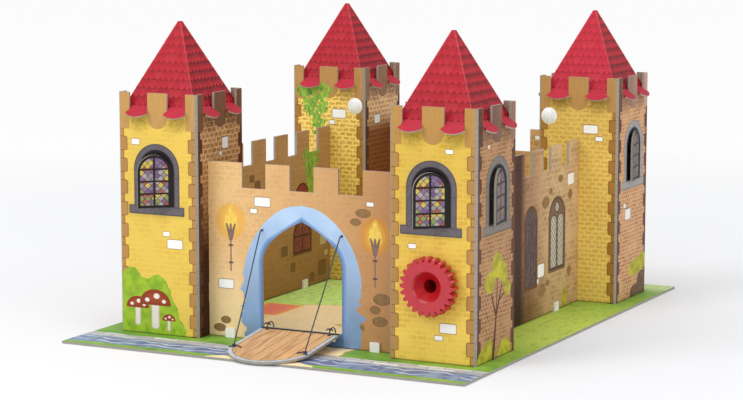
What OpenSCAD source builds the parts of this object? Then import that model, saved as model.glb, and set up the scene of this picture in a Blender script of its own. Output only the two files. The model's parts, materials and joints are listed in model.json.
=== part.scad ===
// Cardboard castle: four folded card towers with pyramid roofs, crenellated card walls on a printed
// board, and a drawbridge on cords that a gear on the front right tower winds up.
// +Z is up and the gate faces -Y. The origin lies on the board's underside, in the middle of the footprint
// from the lowered drawbridge's tip to the board's back edge.

/* [Card] */
// Thickness of the card in the towers, walls and drawbridge
card_t = 2; // [1.6:0.1:2.4]
// Thickness of the card in the roofs
roof_t = 1.2; // [1:0.1:1.4]
// Leg of the bevel that a V cut leaves on a folded tower corner
fold_bevel = 1.85; // [1:0.05:2]
// Width of the crease that a window flap hangs by
crease_w = 0.6; // [0.4:0.1:1]
// Clearance round a tab or peg in its slot
slot_clear = 0.2; // [0.1:0.05:0.4]

/* [Board] */
// Thickness of the board
board_t = 2; // [1.6:0.1:3]
// Board in front of the front towers
margin_front = 58; // [55:0.5:60]
// Board behind the back towers
margin_back = 34.5; // [10:0.5:60]
// Board to the left of the towers
margin_left = 20; // [5:0.5:40]
// Board to the right of the towers
margin_right = 16.5; // [5:0.5:40]

/* [Towers] */
// Outer width of a tower
tower_w = 75; // [70:0.5:82]
// Height of a tower above the board
tower_h = 200; // [190:1:220]
// Distance between the left and right towers, centre to centre
tower_pitch_x = 249; // [244:0.5:260]
// Distance between the front and back towers, centre to centre
tower_pitch_y = 299; // [280:0.5:320]
// Height of a tower's merlons
merlon_h = 15.4; // [12:0.1:20]
// Width of the half merlon at a tower's corner
corner_merlon = 10.6; // [8:0.1:12]
// Width of the merlon in the middle of a tower's face
mid_merlon = 18.6; // [15:0.1:22]
// Width of the tab under each face of a tower
foot_tab_w = 24; // [15:1:35]

/* [Roofs] */
// Height of a roof's apex above the crenel floors
roof_rise = 75.2; // [68:0.2:82]
// Distance of a roof's slope inside the tower's face, at the crenel floors
roof_inset = 2; // [1.6:0.1:2.4]
// Half the width of the blunt tip
roof_tip = 1.4; // [0.6:0.1:2]
// Gap between a roof and the merlons round it
roof_clear = 0.3; // [0.2:0.05:0.6]
// Slope of the tabs that rest in the crenels
tab_slope = 36; // [32:1:40]
// How far a tab's side points stand past its crenel
tab_flare = 2; // [1:0.1:3]
// How far a tab's side points stand out from the tower's face
tab_point_out = 2.8; // [2:0.1:3.4]
// How far the middle of a tab's curved edge stands out from the tower's face
tab_out = 6.6; // [5:0.1:8]

/* [Windows] */
// Width of a window opening
window_w = 27.5; // [24:0.5:32]
// Height of a window opening to the top of its round head
window_h = 43.5; // [38:0.5:48]
// Distance of a window opening's head below the tower's top
window_drop = 49.5; // [42:0.5:58]
// Shift of the front windows from the middle of the face
front_window_shift = -1.2; // [-3:0.1:3]
// Shift of the side windows from the middle of the face
side_window_shift = 2.4; // [-3:0.1:3]
// Angle that the front window flaps stand open
front_flap_angle = 41; // [5:1:60]
// Angle that the side window flaps stand open
side_flap_angle = 9.5; // [5:0.5:60]

/* [Walls] */
// Height of the walls above the board
wall_h = 145; // [135:1:160]
// Depth of the walls' crenels
wall_crenel_h = 20.6; // [15:0.1:25]
// Distance of the front wall behind the towers' front faces
front_setback = 17.2; // [16:0.1:19]
// Distance of the back wall inside the towers' back faces
back_setback = 17.2; // [14:0.1:30]
// Distance of the side walls inside the towers' outer faces
side_setback = 36.5; // [30:0.1:45]
// Number of crenels in the front and back walls
front_crenels = 3; // [1:2:3]
// Width of the crenels in the front and back walls
front_crenel_w = 22; // [15:0.5:26]
// Spacing of the crenels in the front and back walls
front_crenel_pitch = 44.2; // [38:0.1:50]
// Number of crenels in the side walls
side_crenels = 5; // [1:2:5]
// Width of the crenels in the side walls
side_crenel_w = 17; // [12:0.5:22]
// Spacing of the crenels in the side walls
side_crenel_pitch = 40.2; // [30:0.1:44]
// Gap between a wall's end and the tower beside it
wall_end_gap = 0.2; // [0.1:0.05:0.5]
// Height of a wall's tab
wall_tab_h = 16; // [10:1:20]
// Height of the lower tabs above the board
wall_tab_low = 28; // [20:1:40]
// Height of the upper tabs above the board
wall_tab_high = 102; // [92:1:106]
// How far a tab reaches past the tower's card
wall_tab_reach = 6; // [3:0.5:10]

/* [Gate] */
// Width of the gate
gate_w = 73; // [70:0.5:78]
// Height of the sill under the gate
gate_sill = 11.5; // [9:0.1:14]
// Height above the board at which the arch starts
gate_spring = 63; // [58:0.5:66]
// Rise of the arch above its start
gate_rise = 36.8; // [34:0.1:39]
// Radius of the arch's shoulders
gate_shoulder_r = 26.4; // [22:0.2:29]
// Angle at which a shoulder runs into the flatter upper arc
gate_turn = 44.7; // [35:0.1:48]
// Diameter of the cord holes in the arch
cord_hole_d = 2.4; // [2:0.1:3.5]
// Distance of a cord hole from the middle of the gate
cord_hole_x = 36.4; // [34:0.1:40]
// Height of the cord holes above the board
cord_hole_z = 91; // [88:0.5:95]

/* [Drawbridge] */
// Width of the drawbridge
bridge_w = 71; // [68:0.5:72]
// Length of the drawbridge from its hinge line to the tip of its round end
bridge_len = 81; // [80:0.5:84]
// Length of the drawbridge's straight sides
bridge_side = 55; // [50:0.5:60]
// Distance of the hinge line in front of the wall
hinge_out = 1.5; // [1.3:0.1:2.5]
// Distance of the hinge line below the sill's top
hinge_drop = 0.5; // [0:0.1:1]
// Gap between the hinge line and the drawbridge's inner edge
hinge_gap = 0.3; // [0.2:0.05:0.6]
// Gap between the lowered drawbridge and the board's front edge
rest_gap = 0.2; // [0.1:0.05:0.5]
// Distance of the lifting cords' holes from the hinge line
knot_reach = 53; // [44:0.5:54]
// Distance of the lifting cords' holes from the drawbridge's side edges
knot_inset = 3.5; // [3.1:0.1:8.5]

/* [Cords] */
// Diameter of the cords
cord_d = 1.1; // [0.8:0.05:1.3]
// Radius of the cord loops that hinge the drawbridge
loop_r = 5.5; // [5:0.1:6]
// Distance of the hinge loops from the drawbridge's side edges
loop_inset = 7; // [5:0.5:15]
// Diameter of the holes that the hinge loops run through
loop_hole_d = 3.4; // [3:0.1:4]
// Diameter of the knots
knot_d = 3.2; // [2.6:0.1:3.6]
// Length of a knot's loose tail
tail_len = 6; // [4:0.5:8]
// Gap that a lifting cord's end keeps from its knot and the wall's face
cord_gap = 0.3; // [0.2:0.05:0.5]
// Length before and after a bend over which a cord turns
bend_len = 1.1; // [0.8:0.1:1.3]
// Gap between a cord's bend and the peg it runs over
saddle_gap = 0.35; // [0.3:0.05:0.5]

/* [Winch] */
// Height of the axle above the board
axle_z = 61.1; // [57:0.1:65]
// Number of gear teeth
gear_teeth = 24; // [18:1:30]
// Diameter of the gear over its teeth
gear_d = 47.5; // [44:0.5:54]
// Thickness of the gear
gear_t = 10; // [9:0.5:13]
// Depth of a tooth below the pitch circle, in modules
tooth_root = 1.2; // [1.15:0.05:1.25]
// Pressure angle of the teeth
pressure_angle = 25; // [20:1:27]
// Bevel of the teeth at the gear's front and back
tooth_bevel = 1.6; // [0.8:0.1:2]
// Diameter of the hollow in the gear's front
hollow_d = 25; // [20:0.5:28]
// Depth of the hollow
hollow_depth = 7; // [5:0.5:8]
// Diameter of the bore through the hub
bore_d = 10.7; // [9:0.1:11]
// Outer diameter of the hollow axle
axle_d = 14; // [13:0.1:15]
// Running clearance between the axle and its bush, on the radius
axle_clear = 0.08; // [0.03:0.01:0.1]
// Wall of the bush
bush_wall = 1.8; // [1.4:0.1:2.4]
// Thickness of the bush's flange
bush_flange_t = 0.8; // [0.6:0.1:1.2]
// Diameter of the bush's flange and of its ring
bush_flange_d = 24; // [22:0.5:28]
// Thickness of the ring that holds the bush
bush_ring_t = 1.6; // [1.2:0.1:2.5]
// Gap between the bush and the gear, and between the bush and the spool
end_play = 0.3; // [0.2:0.05:0.5]
// Distance of the spool's groove behind the tower's front face
spool_y = 24.5; // [23.5:0.1:26]
// Width of the spool's groove
groove_w = 6; // [5:0.1:7]
// Diameter of the spool at the bottom of its groove
spool_core_d = 18; // [17:0.1:19]
// Diameter of the spool's flanges
spool_flange_d = 28; // [25:0.5:32]
// Thickness of the spool's flanges
spool_flange_t = 1.4; // [1:0.1:2]
// Diameter over the cord wound on the spool
winding_d = 20.4; // [20:0.1:22]
// Diameter of the hole that the cords enter the tower by
cord_entry_d = 8; // [7:0.5:10]
// Height of the cord peg behind the arch above the board
peg_z = 107; // [106:0.5:110]
// Diameter of the cord peg's neck
peg_d = 4; // [3:0.1:5]
// Diameter of the cord peg's two flanges
peg_flange_d = 9; // [8.5:0.1:11]
// Thickness of the cord peg's two flanges
peg_flange_t = 0.8; // [0.6:0.1:1.2]

/* [Clips and rivets] */
// Width of a wall clip
clip_w = 8.5; // [6:0.1:12]
// Height of a wall clip
clip_h = 7.8; // [6:0.1:10]
// Thickness of a wall clip's cheeks
clip_cheek = 1.6; // [1.2:0.1:2.2]
// Thickness of a wall clip's floor
clip_floor = 1.2; // [0.8:0.1:1.6]
// Diameter of the peg under a clip
clip_peg_d = 5; // [3:0.1:6]
// Distance of the front and back clips from the ends of their wall
front_clip_inset = 20.3; // [15:0.1:28]
// Distance of the side clips from the ends of their wall
side_clip_inset = 50.8; // [22:0.1:80]
// Diameter of a push rivet's head
rivet_head_d = 15; // [12:0.5:16]
// Height of a push rivet's domed head
rivet_head_h = 2.6; // [2:0.1:4]
// Diameter of a push rivet's shank
rivet_shank_d = 6; // [4:0.1:8]
// Distance of the push rivets from the towers' inner edges
rivet_in = 9.9; // [9:0.1:14]
// Distance of the push rivets below the towers' tops
rivet_drop = 35.5; // [28:0.5:45]
// Diameter of a push rivet's washer
washer_d = 12; // [10:0.5:14]
// Thickness of a push rivet's washer
washer_t = 1.6; // [1.2:0.1:2.4]

/* [Hidden] */
$fn = 64;

// Overlap of a cut past the face it opens
eps = 0.5;

// Drawbridge at rest, on the front edge of the board
hinge_drop_z = gate_sill - hinge_drop - rest_gap;
hinge_run = margin_front + front_setback - hinge_out;
bridge_slope = atan(hinge_drop_z / hinge_run) - asin(card_t / 2 / norm([hinge_run, hinge_drop_z]));
bridge_over = bridge_len * cos(bridge_slope) + card_t / 2 * sin(bridge_slope) - hinge_run;
knot_x = bridge_w / 2 - knot_inset;
loop_x = bridge_w / 2 - loop_inset;
bridge_sag = bridge_len - bridge_side;
bridge_end_r = (bridge_w * bridge_w / 4 + bridge_sag * bridge_sag) / (2 * bridge_sag);

// Plan of the castle, in the middle between the drawbridge's tip and the board's back edge
board_w = margin_left + tower_pitch_x + tower_w + margin_right;
board_d = margin_front + tower_pitch_y + tower_w + margin_back;
left_x = -board_w / 2 + margin_left;
front_y = -board_d / 2 + bridge_over / 2 + margin_front;
gap_x = tower_pitch_x - tower_w;
gap_y = tower_pitch_y - tower_w;
mid_x = left_x + tower_w + gap_x / 2;
mid_y = front_y + tower_w + gap_y / 2;
sides = [0, 1, 2, 3];
window_z = tower_h - window_drop - window_h;
rivet_z = tower_h - rivet_drop;

// Crenels and roof
crenel_w = (tower_w - 2 * corner_merlon - mid_merlon) / 2;
crenel_x = mid_merlon / 2 + crenel_w / 2;
crenel_z = tower_h - merlon_h;
apex_z = crenel_z + roof_rise;
roof_run = (tower_w / 2 - roof_inset) / roof_rise;
roof_edge = tower_w / 2 - card_t - roof_clear;
roof_drop = roof_t * sqrt(1 + roof_run * roof_run) / roof_run;
roof_foot_z = apex_z - roof_edge / roof_run;
tab_rest_gap = 0.1;
tab_rise = tan(tab_slope);
tab_mid_z = crenel_z + tab_rest_gap + roof_t / cos(tab_slope) / 2;
fold_in = (apex_z - roof_drop / 2 - tab_mid_z - tab_rise * tower_w / 2) / (1 / roof_run - tab_rise);
tab_start = tower_w / 2 - fold_in;

// Gate arch, with its centre line at x = 0 and its start at z = 0
arch_a = gate_w / 2 - gate_shoulder_r;
arch_k = (arch_a * arch_a + gate_rise * gate_rise - gate_shoulder_r * gate_shoulder_r)
    / (2 * (arch_a * cos(gate_turn) - gate_rise * sin(gate_turn) + gate_shoulder_r));
arch_r = gate_shoulder_r + arch_k;
arch_cx = arch_a - arch_k * cos(gate_turn);
arch_cz = -arch_k * sin(gate_turn);
arch_end = acos(-arch_cx / arch_r);
arch_steps = 12;

// Hinge line
hinge_y = front_y + front_setback - hinge_out;
hinge_z = board_t + gate_sill - hinge_drop;

// Gear
gear_module = gear_d / (gear_teeth + 2);
pitch_r = gear_module * gear_teeth / 2;
base_r = pitch_r * cos(pressure_angle);
root_r = pitch_r - tooth_root * gear_module;
flank_r = max(base_r, root_r);
flank_steps = 5;
winch_x = left_x + tower_pitch_x + tower_w / 2;
bush_d = axle_d + 2 * axle_clear + 2 * bush_wall;
gear_back = -bush_flange_t - end_play;
spool_front = spool_y - groove_w / 2 - spool_flange_t;
spool_back = spool_y + groove_w / 2 + spool_flange_t;

// Cord routes behind the front wall
wall_back = front_y + front_setback + card_t;
cord_back_y = wall_back + peg_flange_t + cord_d;
wind_r = (winding_d + cord_d) / 2 + cord_gap;
wind_z = board_t + axle_z + wind_r;
wind_y = front_y + spool_y;
wind_spread = groove_w / 4;
cord_mouth_y = front_y + front_setback - cord_d / 2 - cord_gap;
cord_z = board_t + cord_hole_z;
saddle_z = board_t + peg_z + peg_d / 2 + cord_d / 2 + saddle_gap;
left_route = [
    [winch_x, wind_y - wind_spread, wind_z],
    [mid_x, cord_back_y, saddle_z],
    [mid_x - cord_hole_x, cord_back_y, cord_z],
    [mid_x - cord_hole_x, cord_mouth_y, cord_z]
];
right_route = [
    [winch_x, wind_y + wind_spread, wind_z],
    [mid_x + cord_hole_x, cord_back_y, cord_z],
    [mid_x + cord_hole_x, cord_mouth_y, cord_z]
];
entry_x = left_x + tower_pitch_x;
function route_at(a, b, x) = a + (b - a) * (x - a[0]) / (b[0] - a[0]);
entry_point = (route_at(left_route[0], left_route[1], entry_x)
    + route_at(right_route[0], right_route[1], entry_x)) / 2;

// A point of the lowered drawbridge: across, out from the hinge line and above the middle of the card
function bridge_point(x, out, up) = [
    mid_x + x,
    hinge_y - out * cos(bridge_slope) - up * sin(bridge_slope),
    hinge_z - out * sin(bridge_slope) + up * cos(bridge_slope)
];

// Cord paths: each bend is a quadratic curve in a few steps
cord_sides = 8;
bend_steps = 4;
function unit(v) = v / norm(v);
function bend(a, b, c) = [
    for (i = [0:bend_steps])
        let (t = i / bend_steps, p = b + unit(a - b) * bend_len, q = b + unit(c - b) * bend_len)
            p * pow(1 - t, 2) + b * 2 * t * (1 - t) + q * pow(t, 2)
];
function rounded(route) = concat(
    [route[0]],
    [for (i = [1:len(route) - 2]) each bend(route[i - 1], route[i], route[i + 1])],
    [route[len(route) - 1]]
);
function heading(path, i) = i == 0 ? unit(path[1] - path[0])
    : i == len(path) - 1 ? unit(path[i] - path[i - 1])
    : unit(unit(path[i] - path[i - 1]) + unit(path[i + 1] - path[i]));

function involute(r) = let (t = sqrt(max(0, r * r / (base_r * base_r) - 1))) t * 180 / PI - atan(t);
function half_tooth(r) = 90 / gear_teeth + involute(pitch_r) - involute(max(r, base_r));
function polar(r, a) = [r * cos(a), r * sin(a)];

function arc_points(cx, cy, r, from, to, steps) =
    [for (i = [0:steps]) [cx, cy] + polar(r, from + (to - from) * i / steps)];

// Frames

// Puts its children on a tower: origin at the middle of its foot, turned so that face `side` looks to -Y.
// Sides count from the front, anticlockwise seen from above.
module on_tower(col, line, side = 0) {
    translate([
        left_x + tower_w / 2 + col * tower_pitch_x,
        front_y + tower_w / 2 + line * tower_pitch_y,
        board_t
    ])
        rotate([0, 0, 90 * side])
            children();
}

// Puts its children on a wall: origin at the middle of its outer face's foot, outward is -Y.
module on_wall(side) {
    x_at = [mid_x, left_x + tower_pitch_x + tower_w - side_setback, mid_x, left_x + side_setback];
    y_at = [front_y + front_setback, mid_y, front_y + tower_pitch_y + tower_w - back_setback, mid_y];
    translate([x_at[side], y_at[side], board_t])
        rotate([0, 0, 90 * side])
            children();
}

// Puts its children on the axle: origin where it crosses the tower's front face, +Z along +Y.
module on_axle() {
    translate([winch_x, front_y, board_t + axle_z])
        rotate([-90, 0, 0])
            children();
}

// Puts its children on the lowered drawbridge: origin on the hinge line, -Y outwards along the card.
module on_bridge() {
    translate([mid_x, hinge_y, hinge_z])
        rotate([bridge_slope, 0, 0])
            children();
}

// Stands a flat outline up: its y becomes height and it gets the depth from y = 0 inwards.
module upright(depth) {
    translate([0, depth, 0])
        rotate([90, 0, 0])
            linear_extrude(depth)
                children();
}

// A straight piece of cord, a cylinder from one point to another.
module cord_piece(from, to) {
    d = to - from;
    translate(from)
        rotate([0, acos(d[2] / norm(d)), atan2(d[1], d[0])])
            cylinder(d = cord_d, h = norm(d), $fn = 24);
}

// A cord pulled tight along a route and rounded at each point between its ends, as one tube.
module cord_run(route) {
    path = rounded(route);
    last = len(path) - 1;
    points = [
        for (i = [0:last])
            let (way = heading(path, i), across = unit(cross([0, 0, 1], way)), above = cross(way, across))
                for (k = [0:cord_sides - 1])
                    let (turn = 360 * k / cord_sides)
                        path[i] + cord_d / 2 * (across * cos(turn) + above * sin(turn))
    ];
    skin = [
        for (i = [0:last - 1], k = [0:cord_sides - 1])
            let (a = i * cord_sides + k, b = i * cord_sides + (k + 1) % cord_sides)
                each [[a, a + cord_sides, b], [b, a + cord_sides, b + cord_sides]]
    ];
    first_cap = [for (k = [0:cord_sides - 1]) k];
    last_cap = [for (k = [cord_sides - 1:-1:0]) last * cord_sides + k];
    polyhedron(points, concat([first_cap], skin, [last_cap]));
}

// Towers

module window_outline() {
    translate([-window_w / 2, 0])
        square([window_w, window_h - window_w / 2]);
    translate([0, window_h - window_w / 2])
        circle(d = window_w);
}

// The flap cut out of a window, still hanging by the crease on its right and swung outwards.
module window_flap(angle) {
    translate([window_w / 2, 0, 0])
        rotate([0, 0, angle])
            translate([-window_w / 2, 0, 0])
                upright(card_t) {
                    window_outline();
                    translate([window_w / 2 - crease_w, 0])
                        square([2 * crease_w, window_h - window_w / 2]);
                }
}

module place_window(shift) {
    translate([shift, -tower_w / 2, window_z])
        children();
}

// One tower's card: a folded square tube with bevelled corners, crenels and foot tabs.
module tower_card() {
    difference() {
        linear_extrude(tower_h)
            difference() {
                intersection() {
                    square(tower_w, center = true);
                    rotate(45)
                        square((tower_w - fold_bevel) * sqrt(2), center = true);
                }
                square(tower_w - 2 * card_t, center = true);
            }
        for (side = [0, 1], x = [-crenel_x, crenel_x])
            rotate([0, 0, 90 * side])
                translate([x - crenel_w / 2, -tower_w / 2 - eps, crenel_z])
                    cube([crenel_w, tower_w + 2 * eps, merlon_h + eps]);
    }
    for (side = sides)
        rotate([0, 0, 90 * side])
            translate([-foot_tab_w / 2, -tower_w / 2, -board_t + slot_clear])
                cube([foot_tab_w, card_t, board_t]);
}

// A tower with a window and flap on each face that has an entry [side, shift, angle].
module tower(col, line, windows) {
    difference() {
        on_tower(col, line)
            tower_card();
        for (w = windows)
            on_tower(col, line, w[0])
                place_window(w[1])
                    translate([0, -eps, 0])
                        upright(card_t + 2 * eps)
                            window_outline();
        for (side = sides)
            on_wall(side)
                wall_tabs(side, slot_clear);
        if (line == 1)
            on_rivet(col)
                cylinder(d = rivet_shank_d + 2 * slot_clear, h = 2 * (card_t + eps), center = true);
        if (col == 1 && line == 0) {
            on_axle()
                cylinder(d = bush_d + 2 * slot_clear, h = 2 * (card_t + eps), center = true);
            translate(entry_point)
                rotate([0, 90, 0])
                    cylinder(d = cord_entry_d, h = 2 * (card_t + eps), center = true);
        }
    }
    for (w = windows)
        on_tower(col, line, w[0])
            place_window(w[1])
                window_flap(w[2]);
}

module tower_front_left() {
    color("khaki")
        tower(0, 0, [[0, front_window_shift, front_flap_angle]]);
}

module tower_front_right() {
    color("khaki")
        tower(1, 0, [
            [0, front_window_shift, front_flap_angle],
            [1, side_window_shift, side_flap_angle]
        ]);
}

module tower_back_left() {
    color("khaki")
        tower(0, 1, []);
}

module tower_back_right() {
    color("khaki")
        tower(1, 1, [[1, side_window_shift, side_flap_angle]]);
}

// Roofs

// A square pyramid from its foot's half width at z = foot up to a blunt tip.
module pyramid(half, foot, tip) {
    rise = (half - tip) / roof_run;
    translate([0, 0, foot])
        linear_extrude(rise, scale = tip / half)
            square(2 * half, center = true);
}

// The outline of a tab, from its fold at y = 0 to its curved outer edge.
module tab_outline() {
    neck = crenel_w / 2 - roof_clear;
    wide = crenel_w / 2 + tab_flare;
    stretch = 1 / cos(tab_slope);
    face = (tab_start + roof_clear) * stretch;
    point = (tab_start + tab_point_out) * stretch;
    bulge = (tab_out - tab_point_out) * stretch;
    edge_r = (wide * wide + bulge * bulge) / (2 * bulge);
    edge_a = asin(wide / edge_r);
    polygon(concat(
        [[-neck, 0], [neck, 0], [neck, face]],
        arc_points(0, point + bulge - edge_r, edge_r, 90 - edge_a, 90 + edge_a, 10),
        [[-neck, face]]
    ));
}

// One roof: a folded pyramid shell with two tabs a side that run out through the crenels.
module roof(col, line) {
    color("crimson")
        on_tower(col, line) {
            difference() {
                pyramid(roof_edge, roof_foot_z, roof_tip);
                pyramid(roof_edge - roof_drop * roof_run, roof_foot_z - eps, roof_tip / 4);
            }
            for (side = sides, x = [-crenel_x, crenel_x])
                rotate([0, 0, 90 * side])
                    translate([x, -fold_in, crenel_z + tab_rest_gap + tab_start * tab_rise])
                        rotate([180 + tab_slope, 0, 0])
                            mirror([0, 0, 1])
                                linear_extrude(roof_t)
                                    tab_outline();
        }
}

// Walls

function wall_len(side) = (side % 2 == 0 ? gap_x : gap_y) - 2 * wall_end_gap;
function clip_x(side) = wall_len(side) / 2 - (side % 2 == 0 ? front_clip_inset : side_clip_inset);

// The tabs at both ends of a wall, or with a clearance the slots that take them.
module wall_tabs(side, clear = 0) {
    half = wall_len(side) / 2;
    reach = wall_end_gap + card_t + wall_tab_reach;
    for (end = [-1, 1], z = [wall_tab_low, wall_tab_high])
        translate([end * (half + reach / 2) - reach / 2 - clear, -clear, z - clear])
            cube([reach + 2 * clear, card_t + 2 * clear, wall_tab_h + 2 * clear]);
}

// A wall's card: crenels along the top, tabs at the ends and a notch over each clip's floor.
module wall_card(side) {
    crenels = side % 2 == 0 ? front_crenels : side_crenels;
    width = side % 2 == 0 ? front_crenel_w : side_crenel_w;
    pitch = side % 2 == 0 ? front_crenel_pitch : side_crenel_pitch;
    notch_w = clip_w + 2 * slot_clear;
    upright(card_t)
        difference() {
            translate([-wall_len(side) / 2, 0])
                square([wall_len(side), wall_h]);
            for (i = [0:crenels - 1])
                translate([(i - (crenels - 1) / 2) * pitch - width / 2, wall_h - wall_crenel_h])
                    square([width, wall_crenel_h + eps]);
            for (end = [-1, 1])
                translate([end * clip_x(side) - notch_w / 2, -eps])
                    square([notch_w, clip_floor + slot_clear + eps]);
        }
    wall_tabs(side);
}

// The gate: straight jambs under a four centred arch.
module gate_outline() {
    half = gate_w / 2;
    right_arc = concat(
        arc_points(arch_a, gate_spring, gate_shoulder_r, 0, gate_turn, arch_steps),
        arc_points(arch_cx, gate_spring + arch_cz, arch_r, gate_turn, arch_end, arch_steps)
    );
    left_arc = [for (i = [len(right_arc) - 2:-1:0]) [-right_arc[i][0], right_arc[i][1]]];
    polygon(concat([[half, gate_sill]], right_arc, left_arc, [[-half, gate_sill]]));
}

module front_wall() {
    loop_drop = sqrt(loop_r * loop_r - pow(hinge_out + card_t / 2, 2));
    color("tan")
        on_wall(0)
            difference() {
                wall_card(0);
                translate([0, -eps, 0])
                    upright(card_t + 2 * eps) {
                        gate_outline();
                        for (end = [-1, 1]) {
                            translate([end * cord_hole_x, cord_hole_z])
                                circle(d = cord_hole_d);
                            translate([end * loop_x, gate_sill - hinge_drop - loop_drop])
                                circle(d = loop_hole_d);
                        }
                    }
            }
}

module plain_wall(side) {
    color("peru")
        on_wall(side)
            wall_card(side);
}

// A clip that grips a wall's foot, with a peg in the board.
module wall_clip(side, end) {
    depth = card_t + 2 * slot_clear + 2 * clip_cheek;
    color("white")
        on_wall(side)
            translate([end * clip_x(side), card_t / 2, 0]) {
                difference() {
                    translate([-clip_w / 2, -depth / 2, 0])
                        cube([clip_w, depth, clip_h]);
                    translate([-clip_w / 2 - eps, -card_t / 2 - slot_clear, clip_floor])
                        cube([clip_w + 2 * eps, card_t + 2 * slot_clear, clip_h]);
                }
                translate([0, 0, -board_t + slot_clear])
                    cylinder(d = clip_peg_d, h = board_t);
            }
}

// Board

module base_board() {
    color("yellowgreen")
        difference() {
            translate([-board_w / 2, front_y - margin_front, 0])
                cube([board_w, board_d, board_t]);
            for (col = [0, 1], line = [0, 1], side = sides)
                on_tower(col, line, side)
                    translate([-foot_tab_w / 2 - slot_clear, -tower_w / 2 - slot_clear, -board_t - eps])
                        cube([foot_tab_w + 2 * slot_clear, card_t + 2 * slot_clear, board_t + 2 * eps]);
            for (side = sides, end = [-1, 1])
                on_wall(side)
                    translate([end * clip_x(side), card_t / 2, -board_t - eps])
                        cylinder(d = clip_peg_d + 2 * slot_clear, h = board_t + 2 * eps);
        }
}

// Push rivets of the back towers

// Puts its children on a rivet's axis: origin on the tower's front face, +Z outwards.
module on_rivet(col) {
    shift = (tower_w / 2 - rivet_in) * (col == 0 ? 1 : -1);
    on_tower(col, 1)
        translate([shift, -tower_w / 2, rivet_z])
            rotate([90, 0, 0])
                children();
}

module rivet(col) {
    dome_r = (rivet_head_d * rivet_head_d / 4 + rivet_head_h * rivet_head_h) / (2 * rivet_head_h);
    color("white")
        on_rivet(col) {
            intersection() {
                cylinder(d = rivet_head_d, h = rivet_head_h);
                translate([0, 0, rivet_head_h - dome_r])
                    sphere(r = dome_r);
            }
            translate([0, 0, -card_t - washer_t - slot_clear])
                cylinder(d = rivet_shank_d, h = card_t + washer_t + slot_clear);
        }
}

module washer(col) {
    color("white")
        on_rivet(col)
            translate([0, 0, -card_t - washer_t])
                difference() {
                    cylinder(d = washer_d, h = washer_t);
                    translate([0, 0, -eps])
                        cylinder(d = rivet_shank_d, h = washer_t + 2 * eps);
                }
}

// Drawbridge and its cords

module drawbridge() {
    half = bridge_w / 2;
    end_a = asin(half / bridge_end_r);
    color("burlywood")
        on_bridge()
            translate([0, 0, -card_t / 2])
                linear_extrude(card_t)
                    difference() {
                        polygon(concat(
                            [[half, -hinge_gap], [-half, -hinge_gap]],
                            arc_points(0, bridge_end_r - bridge_len, bridge_end_r,
                                270 - end_a, 270 + end_a, 24)
                        ));
                        for (end = [-1, 1]) {
                            translate([end * loop_x, -loop_r])
                                circle(d = loop_hole_d);
                            translate([end * knot_x, -knot_reach])
                                circle(d = cord_hole_d);
                        }
                    }
}

// A loop of cord round the hinge line, through the drawbridge and the sill.
module hinge_loop(end) {
    color("black")
        translate([mid_x + end * loop_x, hinge_y, hinge_z])
            rotate([0, 90, 0])
                rotate_extrude()
                    translate([loop_r, 0])
                        circle(d = cord_d, $fn = 24);
}

function knot_centre(end) = bridge_point(end * knot_x, knot_reach, card_t / 2 + knot_d / 2);

// The knot on a lifting cord's end: a bead on the card, the cord through its hole, a stop knot and a tail.
module knot(end) {
    stop_t = knot_d / 2;
    color("black")
        on_bridge()
            translate([end * knot_x, -knot_reach, 0]) {
                translate([0, 0, card_t / 2 + knot_d / 2])
                    sphere(d = knot_d, $fn = 32);
                translate([0, 0, -card_t / 2 - stop_t / 2])
                    cylinder(d = cord_d, h = card_t + stop_t + knot_d / 2, $fn = 24);
                translate([0, 0, -card_t / 2 - stop_t])
                    cylinder(d = knot_d, h = stop_t, $fn = 32);
                translate([0, 0, card_t / 2 + cord_d / 2])
                    rotate([0, 90, end > 0 ? 180 : 0])
                        cylinder(d = cord_d, h = tail_len, $fn = 24);
            }
}

// The free span of a lifting cord, from the mouth of its hole to just short of its knot.
module lifting_cord(end) {
    mouth = end < 0 ? left_route[3] : right_route[2];
    way = knot_centre(end) - mouth;
    color("black")
        cord_piece(mouth, mouth + way * (1 - (knot_d / 2 + cord_gap) / norm(way)));
}

module winch_cord(route) {
    color("black")
        cord_run(route);
}

// The peg behind the arch that carries the left cord over the gate.
module cord_peg() {
    neck_h = 2 * cord_d;
    color("white")
        translate([mid_x, wall_back, board_t + peg_z])
            rotate([-90, 0, 0]) {
                cylinder(d = peg_flange_d, h = peg_flange_t);
                cylinder(d = peg_d, h = 2 * peg_flange_t + neck_h);
                translate([0, 0, peg_flange_t + neck_h])
                    cylinder(d = peg_flange_d, h = peg_flange_t);
            }
}

// Winch

module gear_outline() {
    tip_r = gear_d / 2;
    radii = [for (i = [0:flank_steps]) flank_r + (tip_r - flank_r) * i / flank_steps];
    polygon([
        for (tooth = [0:gear_teeth - 1])
            let (mid = tooth * 360 / gear_teeth)
                each concat(
                    [polar(root_r, mid - half_tooth(root_r))],
                    [for (r = radii) polar(r, mid - half_tooth(r))],
                    [for (i = [flank_steps:-1:0]) polar(radii[i], mid + half_tooth(radii[i]))],
                    [polar(root_r, mid + half_tooth(root_r))]
                )
    ]);
}

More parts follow.
